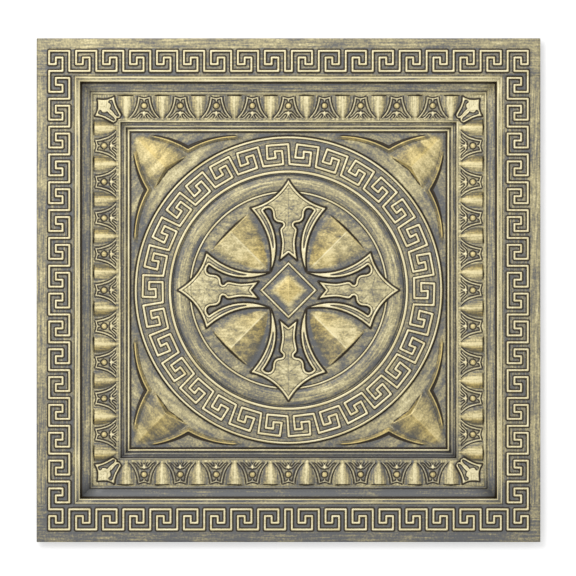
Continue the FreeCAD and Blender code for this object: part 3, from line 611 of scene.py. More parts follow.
def add_ring_key(face, x, y, radius, settings):
    """The ring's key.

    Every point is turned back into the first unit, where the path also runs through the unit
    before and the one after.
    """
    unit_angle = 360.0 / RING_UNITS
    turn = (RING_START - np.degrees(np.arctan2(y, x))) / unit_angle
    angle = np.radians((turn - np.floor(turn)) * unit_angle)
    path = []
    for unit in (-1, 0, 1):
        for part, row in RING_UNIT:
            at = math.radians((unit + part) * unit_angle)
            path.append((RING_ROWS[row] * math.cos(at), RING_ROWS[row] * math.sin(at)))
    gap = distance(radius * np.cos(angle), radius * np.sin(angle), path)
    face.level = face.level + settings.ring_key_height / MILLIMETRE * bump(gap, 1.85, 0.55)
    face.rub(gap, 1.1, 1.4)


def ring_face(x, y, settings):
    """The round mouldings: their section at the radius, with the key on the ring's floor."""
    radius = np.hypot(x, y)
    face = Face(np.interp(radius, *DISC_SECTION), ramp(radius, DISC_BRASS))
    for middle, half, outline in DISC_LINES:
        face.rub(np.abs(radius - middle), half, outline)
    key = (radius > RING_ZONE[0]) & (radius < RING_ZONE[1])
    face.add(key, add_ring_key, (x, y, radius), settings)
    return face


# Half of the arm that points up, from its tip down its outer edge and up round the slot
ARM_TIP, ARM_SHOULDER, HORN_END = (0.0, 132.3), (45.2, 98.3), (21.2, 23.0)
SLOT_CORNER, SHAFT_FOOT = (30.2, 95.2), (0.0, 44.6)
ARM_OUTLINE = (
    bow(ARM_TIP, ARM_SHOULDER, -6.1)
    + bow(ARM_SHOULDER, HORN_END, -9.2)
    + bow(HORN_END, SLOT_CORNER, 10.2)
    + [
        SLOT_CORNER, (27.5, 97.4), (24.5, 98.2), (22.0, 97.7), (20.2, 96.2), (19.0, 93.5),
        (18.7, 90.0), (18.2, 86.8), (17.0, 84.3), (14.9, 82.3), (12.4, 81.2), (9.9, 80.9),
        (7.6, 80.3), (6.4, 78.8), (6.8, 76.8), (8.6, 75.2), (10.0, 73.2), (10.1, 70.6),
        (9.3, 66.5), (8.2, 61.0), (7.8, 56.0), (8.2, 49.5), (9.2, 42.0), (10.3, 36.0),
        SHAFT_FOOT,
    ]
)
ARM_REST = [(-1.0, SHAFT_FOOT[1]), (-1.0, ARM_TIP[1])]

# Level of the arm's plate, and depths of its lines in from the outline
ARM_LEVEL, ARM_LINE, SECOND_LINE = 4.7, 1.45, 4.7
ARM_CREASES = (
    [(0.0, 99.5), (15.5, 103.5)], [(0.0, 99.5), (12.5, 88.5)], [(0.0, 74.0), (0.0, 121.0)],
)

# The petal: start, length, half width, bow of its foot, edge, end of its foot, rise and brass
PETAL_START, PETAL_LENGTH, PETAL_HALF, PETAL_BOW = 34.0, 65.0, 30.6, 3.2
PETAL_EDGE, PETAL_END, PETAL_RISE = 98.3, 99.3, 3.8
PETAL_BRASS = ((0.0, 1.2), (0.4, 0.95), (0.8, 0.78), (0.95, 0.45), (1.1, 0.1))

# The diamond and its pyramid: the sum of the distances from the axes at each edge, and rises
DIAMOND_LINE, DIAMOND_EDGE, DIAMOND_RISE = 32.3, 34.6, 1.7
PYRAMID_EDGE, PYRAMID_RISE = 24.5, 3.4


def add_petals(face, along, off, steep, under):
    """The petals.

    A petal's half width at the share t of its length is w (1 - (1 - t)^2). Its ridge rises with
    t to a straight outer edge, from which a steep face falls to a foot that bows out. Steep and
    under are as on the leaf.
    """
    part = (along - PETAL_START) / PETAL_LENGTH
    half = np.maximum(PETAL_HALF * (1.0 - (1.0 - np.minimum(part, 1.0)) ** 2), 0.01)
    share = off / half
    bulge = 1.0 - np.clip(off / PETAL_HALF, 0.0, 1.1) ** 2

    # Relief
    edge, end = PETAL_EDGE + 0.4 * bulge, PETAL_END + PETAL_BOW * bulge
    ridge = SKIRT_LEVEL + PETAL_RISE * np.clip(part, 0.0, 1.0)
    fade = np.clip((end - along) / (end - edge), 0.0, 1.0) * smooth(1.06, 0.98, share)
    face.level = np.maximum(face.level, ridge * vault(share) * fade)

    # Paint, thinner at the start and on the ridge's outer end, with painted shade on the faces turned
    # from the light
    worn = np.exp(-((along - 91.0) / 6.0) ** 2 - (off / 8.0) ** 2)
    beside = smooth(0.0, 2.0, off)
    brass = ramp(share, PETAL_BRASS) - 0.3 * worn
    # Painted shade: less brass on the faces turned from the light
    brass = brass - (0.1 + 0.25 * beside) * under - 0.12 * beside * steep
    brass = brass * smooth(PETAL_START, PETAL_START + 10.0, along)
    glow = 0.35 * np.exp(-((along - 55.0) / 14.0) ** 2) + 0.3 + 0.3 * steep
    glow = glow * smooth(1.0, 0.8, share) * smooth(0.2, 1.2, off)
    glow = np.maximum(glow, 0.6 * bump(np.abs(along - edge + 0.5), 1.2, 0.4))
    on_petal = (share < 1.1) & (along < end) & (along > PETAL_START)
    face.change(on_petal, brass=brass, bronze=glow)

    # Lines along the outer edge, with its shadow, and along the ridge
    off_end = FAR * smooth(0.9, 1.0, off / PETAL_HALF)
    face.rub(np.abs(along - edge + 0.6) + off_end, 0.3)
    spindle = (end - edge) / 2
    face.shade(np.abs(along - edge - spindle - 0.3) - spindle + 0.5 + off_end, 0.0)
    off_ends = FAR * smooth(46.0, 41.0, along) + FAR * smooth(97.0, 99.0, along)
    face.rub(off + off_ends, 0.4)


def add_arms(face, u, v):
    """The arms, by the depth in from their outline.

    They are plates with a rubbed line round their edge, a second line along the horns and shallow
    creases in the head.
    """
    depth = depth_in(u, v, ARM_OUTLINE, ARM_REST)
    horn = smooth(17.0, 18.6, u) * smooth(97.5, 95.5, v)

    # Near the horn's tip the line fills the plate
    line = np.abs(depth - ARM_LINE)
    narrow = (u > 12.0) & (v < 50.0)
    line = np.where(narrow, np.minimum(line, ARM_LINE - 0.1 - depth), line)
    second = np.abs(depth - SECOND_LINE)

    # Relief
    crease = bump(nearest(u, v, ARM_CREASES), 1.2, 0.1) * smooth(3.4, 4.6, depth)
    plate = ARM_LEVEL + 0.45 * bump(line, 1.3, 0.4) - 0.5 * bump(np.abs(depth - 3.3), 0.9, 0.1)
    plate = plate + horn * (0.4 * bump(second, 0.8, 0.1) - 0.3 * smooth(3.0, 4.0, depth))
    plate = plate - 0.2 * crease
    rise = smooth(-0.5, 0.6, depth)
    face.level = face.level * (1.0 - rise) + plate * rise

    # Paint and lines
    head = 0.64 + 0.2 * smooth(84.0, 96.0, v)
    face.change(depth > -0.5, brass=head - 0.3 * horn - 0.35 * crease)
    face.change(depth > -1.0, bronze=0.0)
    face.clear(np.minimum(depth + 2.0, FAR))
    face.rub(line, 0.9)
    face.shade(np.abs(depth + 0.6), 1.3)
    face.shade(np.abs(depth - 3.0), 0.5)
    face.rub(second + FAR * (1.0 - horn), 0.25)


def add_diamond(face, u, v):
    """The diamond: a rubbed line round a low pyramid, each at a level by the sum of u and v."""
    across = u + v
    off_line = np.abs(across - DIAMOND_LINE)
    floor = SKIRT_LEVEL + 0.2 * smooth(33.0, 30.6, across)
    pyramid = PYRAMID_RISE * np.clip(1.0 - across / PYRAMID_EDGE, 0.0, 1.0)
    level = floor + DIAMOND_RISE * bump(off_line, 1.8, 0.7) + pyramid
    brass, glaze = 0.1 + 0.95 * smooth(25.0, 16.0, across), 0.85 * smooth(23.0, 12.0, across)
    face.change(across < DIAMOND_EDGE, level=level, brass=brass, bronze=glaze)
    face.clear(np.where(across < DIAMOND_EDGE + 1.9, 2.0, -FAR))
    face.rub(off_line / math.sqrt(2), 0.95, 1.2)
    face.rub(u + FAR * smooth(12.0, 20.0, across), 0.4)


def cross_face(x, y, settings):
    """The disc within the ring, worked out in one eighth and mirrored."""
    ax, ay = np.abs(x), np.abs(y)
    u, v = np.minimum(ax, ay), np.maximum(ax, ay)
    face = ring_face(x, y, settings)
    along, off = folded(x, y)
    bare = 0.1
    face.change(v < CROSS_EDGE, brass=bare + (face.brass - bare) * smooth(88.0, 104.0, along))
    add_petals(face, along, off, ay > ax, -y > ax)
    add_arms(face, u, v)
    add_diamond(face, u, v)
    return face


def tile_face(x, y, settings):
    """The face anywhere on the tile: each point takes the formula of the zone that it lies in."""
    out, radius = np.maximum(np.abs(x), np.abs(y)), np.hypot(x, y)
    face = Face(np.zeros(x.shape), 0.0)
    zones = (
        (out >= COFFER_HALF, frame_face),
        ((out < COFFER_HALF) & (radius >= DISC_EDGE), coffer_face),
        ((radius < DISC_EDGE) & (radius >= ROLL_OUTSIDE), ring_face),
        (radius < ROLL_OUTSIDE, cross_face),
    )
    for where, formula in zones:
        if where.any():
            face.put(where, formula(x[where], y[where], settings))
    face.level = np.clip(face.level, PLATE, TOP_LEVEL)
    return face


# Brush strokes: coordinates that run slowly along a stroke and fast across it, with the length
# and width of a stroke in millimetres

LONG_STROKE, COFFER_STROKE, SHORT_STROKE = (38.0, 2.4), (30.0, 9.0), (14.0, 7.0)

# Radius at which strokes that run round the middle have their full length
STROKE_RADIUS = 150.0


def straight_strokes(upright):
    """Long strokes to the right, or up where upright is true.

    The third coordinate keeps the two patterns apart.
    """
    length, width = LONG_STROKE

    def strokes(x, y):
        along, across = (y, x) if upright else (x, y)
        return np.stack([along / length, across / width, np.full(x.shape, 9.0 * upright)], -1)
    return strokes


def round_strokes(length, width):
    """Strokes of that length and width that run round the middle of the tile."""
    def strokes(x, y):
        angle = np.arctan2(y, x)
        swing = STROKE_RADIUS / length
        return np.stack([swing * np.cos(angle), swing * np.sin(angle), np.hypot(x, y) / width], -1)
    return strokes


def short_strokes(x, y):
    """Short strokes across the middle of the tile."""
    length, width = SHORT_STROKE
    return np.stack([x / length, y / width, np.full(x.shape, 3.0)], -1)


# Slabs of plate

SIDES = ("top", "left", "bottom", "right")

# Paint of the back: far from every line, with a little brass and glaze
BACK_PAINT = {"bright": FAR, "dark": FAR, "brass": 0.1, "bronze": 0.1}


def least_nearby(level, wraps):
    """The least level within two cells of each point."""
    for axis in (0, 1):
        pad = [(2, 2) if k == axis else (0, 0) for k in (0, 1)]
        wide = np.pad(level, pad, mode="wrap" if wraps and axis == 1 else "edge")
        size = level.shape[axis]
        level = np.minimum.reduce([np.take(wide, np.arange(k, k + size), axis) for k in range(5)])
    return level


def cells(index):
    """The four corners of each cell of a grid."""
    corners = [index[:-1, :-1], index[:-1, 1:], index[1:, 1:], index[1:, :-1]]
    return np.stack(corners, axis=-1).reshape(-1, 4)


def wall_triangles(fine, coarse):
    """Triangles between an edge and one with half as many points below it."""
    near = np.arange(len(fine) - 1)
    upper = np.stack([fine[:-1], coarse[(near + 1) // 2], fine[1:]], axis=-1)
    lower = np.stack([coarse[:-1], coarse[1:], fine[1:-1:2]], axis=-1)
    return np.concatenate([upper, lower])


def shell(face_index, back_index, wraps):
    """Quads of a slab's face and back, and triangles of the walls between them."""
    if wraps:
        face_index = np.concatenate([face_index, face_index[:, :1]], axis=1)
        back_index = np.concatenate([back_index, back_index[:, :1]], axis=1)
    quads = np.concatenate([cells(face_index), cells(back_index)[:, ::-1]])
    walls = [wall_triangles(face_index[0], back_index[0])]
    walls.append(wall_triangles(face_index[-1], back_index[-1])[:, ::-1])
    if not wraps:
        walls.append(wall_triangles(face_index[:, 0], back_index[:, 0])[:, ::-1])
        walls.append(wall_triangles(face_index[:, -1], back_index[:, -1]))
    return quads, np.concatenate(walls)


def plate_mesh(name, points, quads, triangles):
    """A mesh of points in millimetres, with smooth quads and flat triangles."""
    mesh = bpy.data.meshes.new(name)
    mesh.vertices.add(len(points))
    mesh.vertices.foreach_set("co", (points * MILLIMETRE).astype(np.float32).ravel())
    corners = np.concatenate([quads.ravel(), triangles.ravel()]).astype(np.int32)
    mesh.loops.add(len(corners))
    mesh.loops.foreach_set("vertex_index", corners)
    starts = [np.arange(len(quads)) * 4, quads.size + np.arange(len(triangles)) * 3]
    starts = np.concatenate(starts).astype(np.int32)
    mesh.polygons.add(len(starts))
    mesh.polygons.foreach_set("loop_start", starts)
    mesh.polygons.foreach_set("use_smooth", np.arange(len(starts)) < len(quads))
    mesh.update(calc_edges=True)
    return mesh


def store_paint(mesh, face, strokes):
    """Store the face's paint and the strokes' coordinates at each point of a slab."""
    for key, behind in BACK_PAINT.items():
        values = np.clip(getattr(face, key), -FAR, FAR)
        values = np.append(values, np.full(len(strokes) - len(values), behind))
        store = mesh.attributes.new(key, "FLOAT", "POINT")
        store.data.foreach_set("value", values.astype(np.float32))
    store = mesh.attributes.new("strokes", "FLOAT_VECTOR", "POINT")
    store.data.foreach_set("vector", strokes.astype(np.float32).ravel())


def slab(context, name, x, y, strokes, wraps=False):
    """A closed slab of plate over a grid of points, each row of which may close into a ring.

    The back takes every second row and column, and lies a plate's thickness below the least of
    the face near it, so that it never comes through.
    """
    face = tile_face(x.ravel(), y.ravel(), context.scene.tile_relief)
    z = face.level.reshape(x.shape)
    low = np.clip(least_nearby(z, wraps)[::2, ::2] - PLATE, 0.0, None)
    face_points = np.stack([x, y, z], axis=-1).reshape(-1, 3)
    back_points = np.stack([x[::2, ::2], y[::2, ::2], low], axis=-1).reshape(-1, 3)
    points = np.concatenate([face_points, back_points])
    face_index = np.arange(z.size).reshape(z.shape)
    back_index = z.size + np.arange(low.size).reshape(low.shape)
    quads, triangles = shell(face_index, back_index, wraps)

    # On a grid that runs the other way round the faces are turned over
    first, second = points[face_index[0, 1]] - points[0], points[face_index[1, 0]] - points[0]
    if first[0] * second[1] - first[1] * second[0] < 0:
        quads, triangles = quads[:, ::-1], triangles[:, ::-1]

    mesh = plate_mesh(name, points, quads, triangles)
    store_paint(mesh, face, strokes(points[:, 0], points[:, 1]))
    mesh.materials.append(antique_brass(context.scene.tile_finish))
    piece = bpy.data.objects.new(name, mesh)
    context.collection.objects.link(piece)
    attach(piece, "root")
    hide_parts("pressed_tile")
    return piece


def filled(places, widest):
    """The places in order, with more between them wherever a gap is wider than widest.

    Their number is odd, so that the back can take every second one.
    """
    places = np.unique(np.round(places, 4))
    counts = np.maximum(1, np.ceil(np.diff(places) / widest)).astype(int)
    if counts.sum() % 2:
        counts[np.argmax(np.diff(places) / counts)] += 1
    runs = [np.linspace(*pair, count + 1)[1:] for *pair, count in zip(places[:-1], places[1:], counts)]
    return np.concatenate([places[:1], *runs])


def across_lines(middles):
    """Places across lines: their feet, the middle of their slopes and their shoulders."""
    offsets = np.array([-2.35, -1.3, -0.5, 0.5, 1.3, 2.35])
    return (np.asarray(middles)[:, None] + offsets).ravel()


def key_columns(outermost, count):
    """Places across the columns of the border key, the last of which is the outermost."""
    return across_lines(np.arange(0.5, count + 0.5) * outermost / count)


def turned(x, y, quarters):
    """Points turned about the middle by quarters."""
    for _ in range(quarters):
        x, y = -y, x
    return x, y


def mitred_sides(context, name, outs, count, across=False):
    """A slab on each side of the tile, mitred at both ends, with that count of columns.

    Its rows are parallel to the side. The strokes run along them, or across them.
    """
    for quarter, side in enumerate(SIDES):
        shares, y = np.meshgrid(np.linspace(-1.0, 1.0, count), outs)
        x, y = turned(shares * y, y, quarter)
        slab(context, f"{name}_{side}", x, y, straight_strokes((quarter % 2 == 1) != across))


def round_grid(radii, count):
    """Circles about the middle."""
    angle = -math.pi / 4 + np.arange(count) * 2 * math.pi / count
    radii = np.asarray(radii)[:, None]
    return radii * np.cos(angle), radii * np.sin(angle)


# Finish

# Patterns of the paint in millimetres: how the covering drifts, where a rag has been, and the
# grain, which is coarser than the real paint's so that it shows
CLOUD_SIZE, SMUDGE_SIZE, GRAIN_SIZE = 45.0, 14.0, 2.4

# How far each pattern moves the share of brass, and how far the grain moves the edges of lines
COVER_WEIGHTS = {"streaks": 2.6, "clouds": 0.9, "smudges": 0.6, "grain": 1.5}
EDGE_WEIGHTS = {"dark": 0.6, "bright": 0.5}

# Depth of the brush marks in millimetres
BRUSH_DEPTH = 0.3


def colour(code):
    """An sRGB hex value as linear red, green, blue and alpha."""
    parts = [int(code[k:k + 2], 16) / 255.0 for k in (1, 3, 5)]
    linear = [c / 12.92 if c <= 0.04045 else ((c + 0.055) / 1.055) ** 2.4 for c in parts]
    return (*linear, 1.0)


def node(tree, kind, settings=None, links=None, output=0):
    """Add a node of that kind and return one of its outputs.

    Links says what each input gets: another node's output or a value.
    """
    made = tree.nodes.new(kind)
    for key, value in (settings or {}).items():
        setattr(made, key, value)
    for key, value in (links or {}).items():
        if isinstance(value, bpy.types.NodeSocket):
            tree.links.new(value, made.inputs[key])
        else:
            made.inputs[key].default_value = value
    return made.outputs[output] if made.outputs else None


def cleared(block):
    """The node tree of a material or a world, without its nodes."""
    block.use_nodes = True
    block.node_tree.nodes.clear()
    return block.node_tree


def paint_patterns(tree):
    """Noises about 0: streaks along the brush strokes, and three patterns fixed in the tile."""
    strokes = node(tree, "ShaderNodeAttribute", {"attribute_name": "strokes"}, output="Vector")
    place = node(tree, "ShaderNodeTexCoord", output="Object")
    patterns = {}
    for key, vector, scale, detail, roughness in (
        ("streaks", strokes, 1.0, 5.0, 0.65),
        ("clouds", place, 1.0 / (CLOUD_SIZE * MILLIMETRE), 2.0, 0.5),
        ("smudges", place, 1.0 / (SMUDGE_SIZE * MILLIMETRE), 3.0, 0.6),
        ("grain", place, 1.0 / (GRAIN_SIZE * MILLIMETRE), 2.0, 0.7),
    ):
        noise = node(tree, "ShaderNodeTexNoise", {}, {
            "Vector": vector, "Scale": scale, "Detail": detail, "Roughness": roughness,
        }, "Fac")
        patterns[key] = node(tree, "ShaderNodeMath", {"operation": "SUBTRACT"}, {0: noise, 1: 0.5})
    return patterns


def coated(tree, under, value, low, high, coat):
    """A coat over a colour, from nothing to full as the value goes from low to high."""
    share = node(tree, "ShaderNodeMapRange", {"clamp": True}, {
        "Value": value, "From Min": low, "From Max": high,
    })
    return node(tree, "ShaderNodeMix", {"data_type": "RGBA"}, {
        "Factor": share, 6: under, 7: coat,
    }, 2)


def antique_brass(finish):
    """Antique brass paint on tin plate.

    The plate is sprayed dark grey, which stays as a matt patina in the hollows. Brass paint is
    dry-brushed over it in streaks, and the raised lines are rubbed back to a pale satin gold.
    Dark wax stays along their feet. The same dark colour paints shadows over the eggs' tops,
    outside the skirt's lip and beyond the petals' outer edges, and less brass paints shade on
    faces turned from the light.
    """
    name = "antique_brass_on_tin"
    if name in bpy.data.materials:
        return bpy.data.materials[name]
    material = bpy.data.materials.new(name)
    tree = cleared(material)
    paints = {key: (*getattr(finish, key), 1.0) for key in TILE_PG_finish.__annotations__}
    fields = {
        key: node(tree, "ShaderNodeAttribute", {"attribute_name": key}, output="Fac")
        for key in BACK_PAINT
    }
    patterns = paint_patterns(tree)

    # The share of brass and the distances to lines, each moved by the patterns
    cover = fields["brass"]
    for key, weight in COVER_WEIGHTS.items():
        cover = node(tree, "ShaderNodeMath", {"operation": "MULTIPLY_ADD"}, {
            0: patterns[key], 1: weight, 2: cover,
        })
    edges = {}
    for key, weight in EDGE_WEIGHTS.items():
        edges[key] = node(tree, "ShaderNodeMath", {"operation": "MULTIPLY_ADD"}, {
            0: patterns["grain"], 1: weight, 2: fields[key],
        })

    # Coats over the patina: by which value they come, and where they start and are full
    rubbed = paints["highlight"]
    rubbed = coated(tree, paints["worn_gold"], patterns["streaks"], -0.18, 0.14, rubbed)
    shown = paints["patina"]
    for value, low, high, coat in (
        (cover, 0.0, 0.5, paints["thin_brass"]),
        (cover, 0.45, 0.9, paints["brass"]),
        (cover, 0.85, 1.35, paints["pale_brass"]),
        (edges["dark"], 0.45, -0.3, paints["outline"]),
        (edges["bright"], 0.25, -0.25, rubbed),
    ):
        shown = coated(tree, shown, value, low, high, coat)
    shown = node(tree, "ShaderNodeMix", {"data_type": "RGBA", "blend_type": "MULTIPLY"}, {
        "Factor": fields["bronze"], 6: shown, 7: paints["bronze"],
    }, 2)

    brushed = node(tree, "ShaderNodeMath", {"operation": "ADD"}, {
        0: patterns["grain"], 1: patterns["streaks"],
    })
    bumped = node(tree, "ShaderNodeBump", {}, {
        "Height": brushed, "Strength": 0.3, "Distance": BRUSH_DEPTH * MILLIMETRE,
    })
    shader = node(tree, "ShaderNodeBsdfPrincipled", {}, {
        "Base Color": shown, "Roughness": 0.5, "Metallic": 0.25, "Normal": bumped,
    })
    node(tree, "ShaderNodeOutputMaterial", {}, {"Surface": shader})
    return material


# Stage: a white floor, one large lamp, an even sky and a camera that looks straight down

FLOOR_HALF, FLOOR_LEVEL, FLOOR_GLOW = 3.0, -0.0005, 0.5
LAMP_SIZE, LAMP_PLACE = 1.2, (-0.7, 0.9, 1.6)
SKY_LIGHT = 0.54
CAMERA_PLACE = (-0.0006, 0.0026, 2.0)


def seen_rays(tree):
    """1 for the rays that show a thing, directly, in a reflection or through glass, else 0."""
    seen = node(tree, "ShaderNodeLightPath", output="Is Camera Ray")
    for ray in ("Is Glossy Ray", "Is Transmission Ray"):
        other = node(tree, "ShaderNodeLightPath", output=ray)
        seen = node(tree, "ShaderNodeMath", {"operation": "MAXIMUM"}, {0: seen, 1: other})
    return seen


def studio_paper(backdrop):
    """White paper that glows a little where it is seen, so that it looks even."""
    material = bpy.data.materials.new("studio_paper")
    tree = cleared(material)
    paper = node(tree, "ShaderNodeBsdfDiffuse", {}, {"Color": (*backdrop, 1.0)})
    glow = node(tree, "ShaderNodeMath", {"operation": "MULTIPLY"}, {
        0: seen_rays(tree), 1: FLOOR_GLOW,
    })
    white = node(tree, "ShaderNodeEmission", {}, {"Color": (*backdrop, 1.0), "Strength": glow})
    mixed = node(tree, "ShaderNodeAddShader", {}, {0: paper, 1: white})
    node(tree, "ShaderNodeOutputMaterial", {}, {"Surface": mixed})
    return material


def studio_sky():
    """A white sky that lights less than it shows."""
    world = bpy.data.worlds.new("studio")
    tree = cleared(world)
    strength = node(tree, "ShaderNodeMapRange", {}, {
        "Value": seen_rays(tree), "To Min": SKY_LIGHT, "To Max": 1.0,
    })
    sky = node(tree, "ShaderNodeBackground", {}, {
        "Color": (1.0, 1.0, 1.0, 1.0), "Strength": strength,
    })
    node(tree, "ShaderNodeOutputWorld", {}, {"Surface": sky})
    return world


# Operators, settings and panel


def height_property(label, note, height, most):
    """A height that the user can change, and the most it can be, in metres."""
    return bpy.props.FloatProperty(
        name=label, description=note, default=height, min=0.0, max=most, unit="LENGTH",
        precision=5)


class TILE_PG_relief(bpy.types.PropertyGroup):
    """Heights of the fine relief."""

    key_height: height_property("Border key", "Key line above the rim", 0.0015, 0.002)
    ring_key_height: height_property("Ring key", "Key line above the ring's floor", 0.0012, 0.003)
    egg_height: height_property("Eggs", "Top of an egg above its band", 0.0021, 0.004)
    dart_height: height_property("Darts", "Line round a dart above its band", 0.0011, 0.003)
    palmette_height: height_property("Palmettes", "Palmette above the band", 0.0016, 0.003)
    lip_height: height_property("Skirt lip", "Edge of the skirt above its plate", 0.0011, 0.003)


def colour_property(label, note, code):
    """A colour that the user can change, from its sRGB hex value."""
    return bpy.props.FloatVectorProperty(
        name=label, description=note, default=colour(code)[:3], subtype="COLOR", size=3,
        min=0.0, max=1.0)


class TILE_PG_finish(bpy.types.PropertyGroup):
    """Colours of the paint."""

    patina: colour_property("Patina", "Dark grey paint in the hollows", "#636465")
    thin_brass: colour_property("Thin brass", "Brass paint with the patina through it", "#978F74")
    brass: colour_property("Brass", "Brass paint where it covers", "#C7BB8D")
    pale_brass: colour_property("Pale brass", "Brass paint where it lies thick", "#F1E6BA")
    highlight: colour_property("Rubbed lines", "Pale gold of the rubbed lines", "#FFF5CC")
    worn_gold: colour_property("Worn gold", "Duller gold of the rubbed lines", "#DCCC96")
    # The glaze also deepens the painted shade on the eggs' far flanks
    bronze: colour_property("Glaze", "Warm glaze, multiplied over the brass", "#F1E3B6")
    # Also the colour of the painted shadows over the eggs' tops, outside the skirt's lip and beyond
    # the petals' outer edges
    outline: colour_property("Wax", "Dark wax along the feet of the lines", "#261B05")


class TILE_PG_stage(bpy.types.PropertyGroup):
    """Floor, light and camera."""

    backdrop: colour_property("Backdrop", "Colour of the floor", "#EEEEEE")
    light_power: bpy.props.FloatProperty(
        name="Light", description="Power of the large lamp above the tile",
        default=19.5, min=0.0, unit="POWER")
    view_width: bpy.props.FloatProperty(
        name="View width", description="Width of the floor that the camera sees",
        default=0.6895, min=0.1, unit="LENGTH")


class TILE_OT_border(bpy.types.Operator):
    """Build the four strips of the border, on grids that follow the key's lines"""

    bl_idname = "tile.border"
    bl_label = "Border"

    def execute(self, context):
        widest, narrowest = 3.2, 0.4
        rows = filled([BORDER_INSIDE, MARGIN_INSIDE, TILE_HALF, *across_lines(KEY_ROWS)], widest)
        long = key_columns(KEY_ROWS[3], TOP_COLUMNS)
        short = key_columns(KEY_ROWS[0], SIDE_COLUMNS)
        short = short[short < BORDER_INSIDE - narrowest]
        for quarter, side in enumerate(SIDES):
            upright = quarter % 2 == 1
            places, end = (short, BORDER_INSIDE) if upright else (long, TILE_HALF)
            places = filled([-end, 0.0, end, *places, *-places], widest)
            x, y = turned(*np.meshgrid(places, rows), quarter)
            slab(context, f"border_{side}", x, y, straight_strokes(upright))
        return {"FINISHED"}


class TILE_OT_rails(bpy.types.Operator):
    """Build the rail, cove and bead on each side"""

    bl_idname = "tile.rails"
    bl_label = "Rails"

    def execute(self, context):
        outs = filled([
            BORDER_INSIDE, 254.7, 253.6, 251.3, 250.3, 249.6, 248.8, 247.8, 245.5, 242.3, 239.1,
            238.2, 237.5, 236.8, 236.0, 235.3, 234.7, 234.2, BAND_OUTSIDE,
        ], widest=0.9)
        mitred_sides(context, "rail", outs, count=25)
        return {"FINISHED"}


class TILE_OT_eggs(bpy.types.Operator):
    """Build the egg-and-dart band on each side"""

    bl_idname = "tile.eggs"
    bl_label = "Egg-and-dart bands"

    def execute(self, context):
        outs = np.linspace(BAND_INSIDE, BAND_OUTSIDE, 43)
        mitred_sides(context, "egg_band", outs, count=607, across=True)
        return {"FINISHED"}


class TILE_OT_fine_lines(bpy.types.Operator):
    """Build the fine lines round the coffer"""

    bl_idname = "tile.fine_lines"
    bl_label = "Fine lines"

    def execute(self, context):
        outs = filled([
            BAND_INSIDE, 203.0, 202.4, 201.7, 201.2, 200.3, 199.6, 199.0, 198.4, 197.9, 197.2,
            196.4, 195.7, 195.1, 194.2, 193.5, 192.9, 192.0, 191.4, 190.7, COFFER_HALF,
        ], widest=0.6)
        mitred_sides(context, "fine_lines", outs, count=25)
        return {"FINISHED"}


class TILE_OT_coffer(bpy.types.Operator):
    """Build the coffer round the disc, on rings drawn out from the circle to the square"""

    bl_idname = "tile.coffer"
    bl_label = "Coffer"

    def execute(self, context):
        count, rings = 240, 53
        along = np.linspace(-1.0, 1.0, count + 1)[:-1]
        one = np.ones(count)
        square_x = COFFER_HALF * np.concatenate([one, -along, -one, along])
        square_y = COFFER_HALF * np.concatenate([along, one, -along, -one])
        circle_x, circle_y = round_grid([DISC_EDGE], 4 * count)
        share = np.linspace(0.0, 1.0, rings)[:, None]
        x = circle_x * (1.0 - share) + square_x * share
        y = circle_y * (1.0 - share) + square_y * share
        slab(context, "coffer", x, y, round_strokes(*COFFER_STROKE), wraps=True)
        return {"FINISHED"}


class TILE_OT_key_ring(bpy.types.Operator):
    """Build the ring with its key"""

    bl_idname = "tile.key_ring"
    bl_label = "Key ring"

    def execute(self, context):
        corners = [ROLL_OUTSIDE, 141.2, 142.7, 143.7, 181.0, 182.1, 183.5, DISC_EDGE]
        x, y = round_grid(filled(corners, widest=0.87), 36 * RING_UNITS)
        slab(context, "key_ring", x, y, round_strokes(*LONG_STROKE), wraps=True)
        return {"FINISHED"}


class TILE_OT_roll(bpy.types.Operator):
    """Build the round roll and the thin circle"""

    bl_idname = "tile.roll"
    bl_label = "Roll"

    def execute(self, context):
        corners = [CROSS_EDGE, 117.2, 118.1, ROLL_INSIDE, ROLL_OUTSIDE]
        x, y = round_grid(filled(corners, widest=0.86), 24 * RING_UNITS)
        slab(context, "roll", x, y, round_strokes(*LONG_STROKE), wraps=True)
        return {"FINISHED"}


class TILE_OT_cross(bpy.types.Operator):
    """Build the cross, petals and diamond, on a square grid drawn in to a disc"""

    bl_idname = "tile.cross"
    bl_label = "Cross"

    def execute(self, context):
        count = 275
        a, b = np.meshgrid(*[np.linspace(-1.0, 1.0, count)] * 2)
        wide = np.abs(a) >= np.abs(b)
        large, small = np.where(wide, a, b), np.where(wide, b, a)
        turn = math.pi / 4 * small / np.where(large == 0, 1.0, large)
        near, far = CROSS_EDGE * large * np.cos(turn), CROSS_EDGE * large * np.sin(turn)
        slab(context, "cross", np.where(wide, near, far), np.where(wide, far, near), short_strokes)
        return {"FINISHED"}


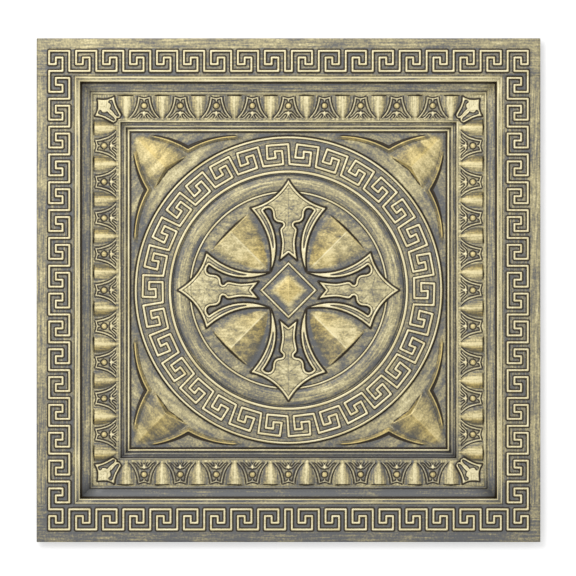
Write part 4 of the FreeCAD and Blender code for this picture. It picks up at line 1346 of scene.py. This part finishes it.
class TILE_OT_stage(bpy.types.Operator):
    """Set the floor, the light and the camera"""

    bl_idname = "tile.stage"
    bl_label = "Stage"

    def execute(self, context):
        settings = context.scene.tile_stage
        mesh = bpy.data.meshes.new("floor")
        corners = [(-1, -1), (1, -1), (1, 1), (-1, 1)]
        corners = [(FLOOR_HALF * i, FLOOR_HALF * j, FLOOR_LEVEL) for i, j in corners]
        mesh.from_pydata(corners, [], [(0, 1, 2, 3)])
        mesh.materials.append(studio_paper(settings.backdrop))
        floor = bpy.data.objects.new("floor", mesh)
        context.collection.objects.link(floor)
        lamp = bpy.data.lights.new("softbox", "AREA")
        lamp.energy = settings.light_power
        lamp.shape = "SQUARE"
        lamp.size = LAMP_SIZE
        light = bpy.data.objects.new("softbox", lamp)
        light.location = LAMP_PLACE
        aim = light.location.copy()
        aim.negate()
        light.rotation_euler = aim.to_track_quat("-Z", "Y").to_euler()
        context.collection.objects.link(light)
        context.scene.world = studio_sky()
        lens = bpy.data.cameras.new("camera")
        lens.type = "ORTHO"
        lens.ortho_scale = settings.view_width
        camera = bpy.data.objects.new("camera", lens)
        camera.location = CAMERA_PLACE
        context.collection.objects.link(camera)
        context.scene.camera = camera
        context.scene.view_settings.view_transform = "Standard"
        return {"FINISHED"}


class TILE_PT_panel(bpy.types.Panel):
    """The tile's tools in the sidebar"""

    bl_idname = "TILE_PT_panel"
    bl_label = "Tile"
    bl_space_type = "VIEW_3D"
    bl_region_type = "UI"
    bl_category = "Tile"

    def draw(self, context):
        for operator in OPERATORS:
            self.layout.operator(operator.bl_idname)
        for name, group in SETTINGS.items():
            for key in group.__annotations__:
                self.layout.prop(getattr(context.scene, name), key)


OPERATORS = (
    TILE_OT_border, TILE_OT_rails, TILE_OT_eggs, TILE_OT_fine_lines, TILE_OT_coffer,
    TILE_OT_key_ring, TILE_OT_roll, TILE_OT_cross, TILE_OT_stage,
)
SETTINGS = {"tile_relief": TILE_PG_relief, "tile_finish": TILE_PG_finish, "tile_stage": TILE_PG_stage}
CLASSES = (*SETTINGS.values(), *OPERATORS, TILE_PT_panel)


def register():
    for item in CLASSES:
        bpy.utils.register_class(item)
    for name, group in SETTINGS.items():
        setattr(bpy.types.Scene, name, bpy.props.PointerProperty(type=group))


def unregister():
    for name in SETTINGS:
        delattr(bpy.types.Scene, name)
    for item in reversed(CLASSES):
        bpy.utils.unregister_class(item)


def main():
    """Build the pieces and the stage."""
    register()
    for operator in OPERATORS:
        getattr(bpy.ops.tile, operator.bl_idname.split(".")[1])()


if __name__ == "__main__":
    main()
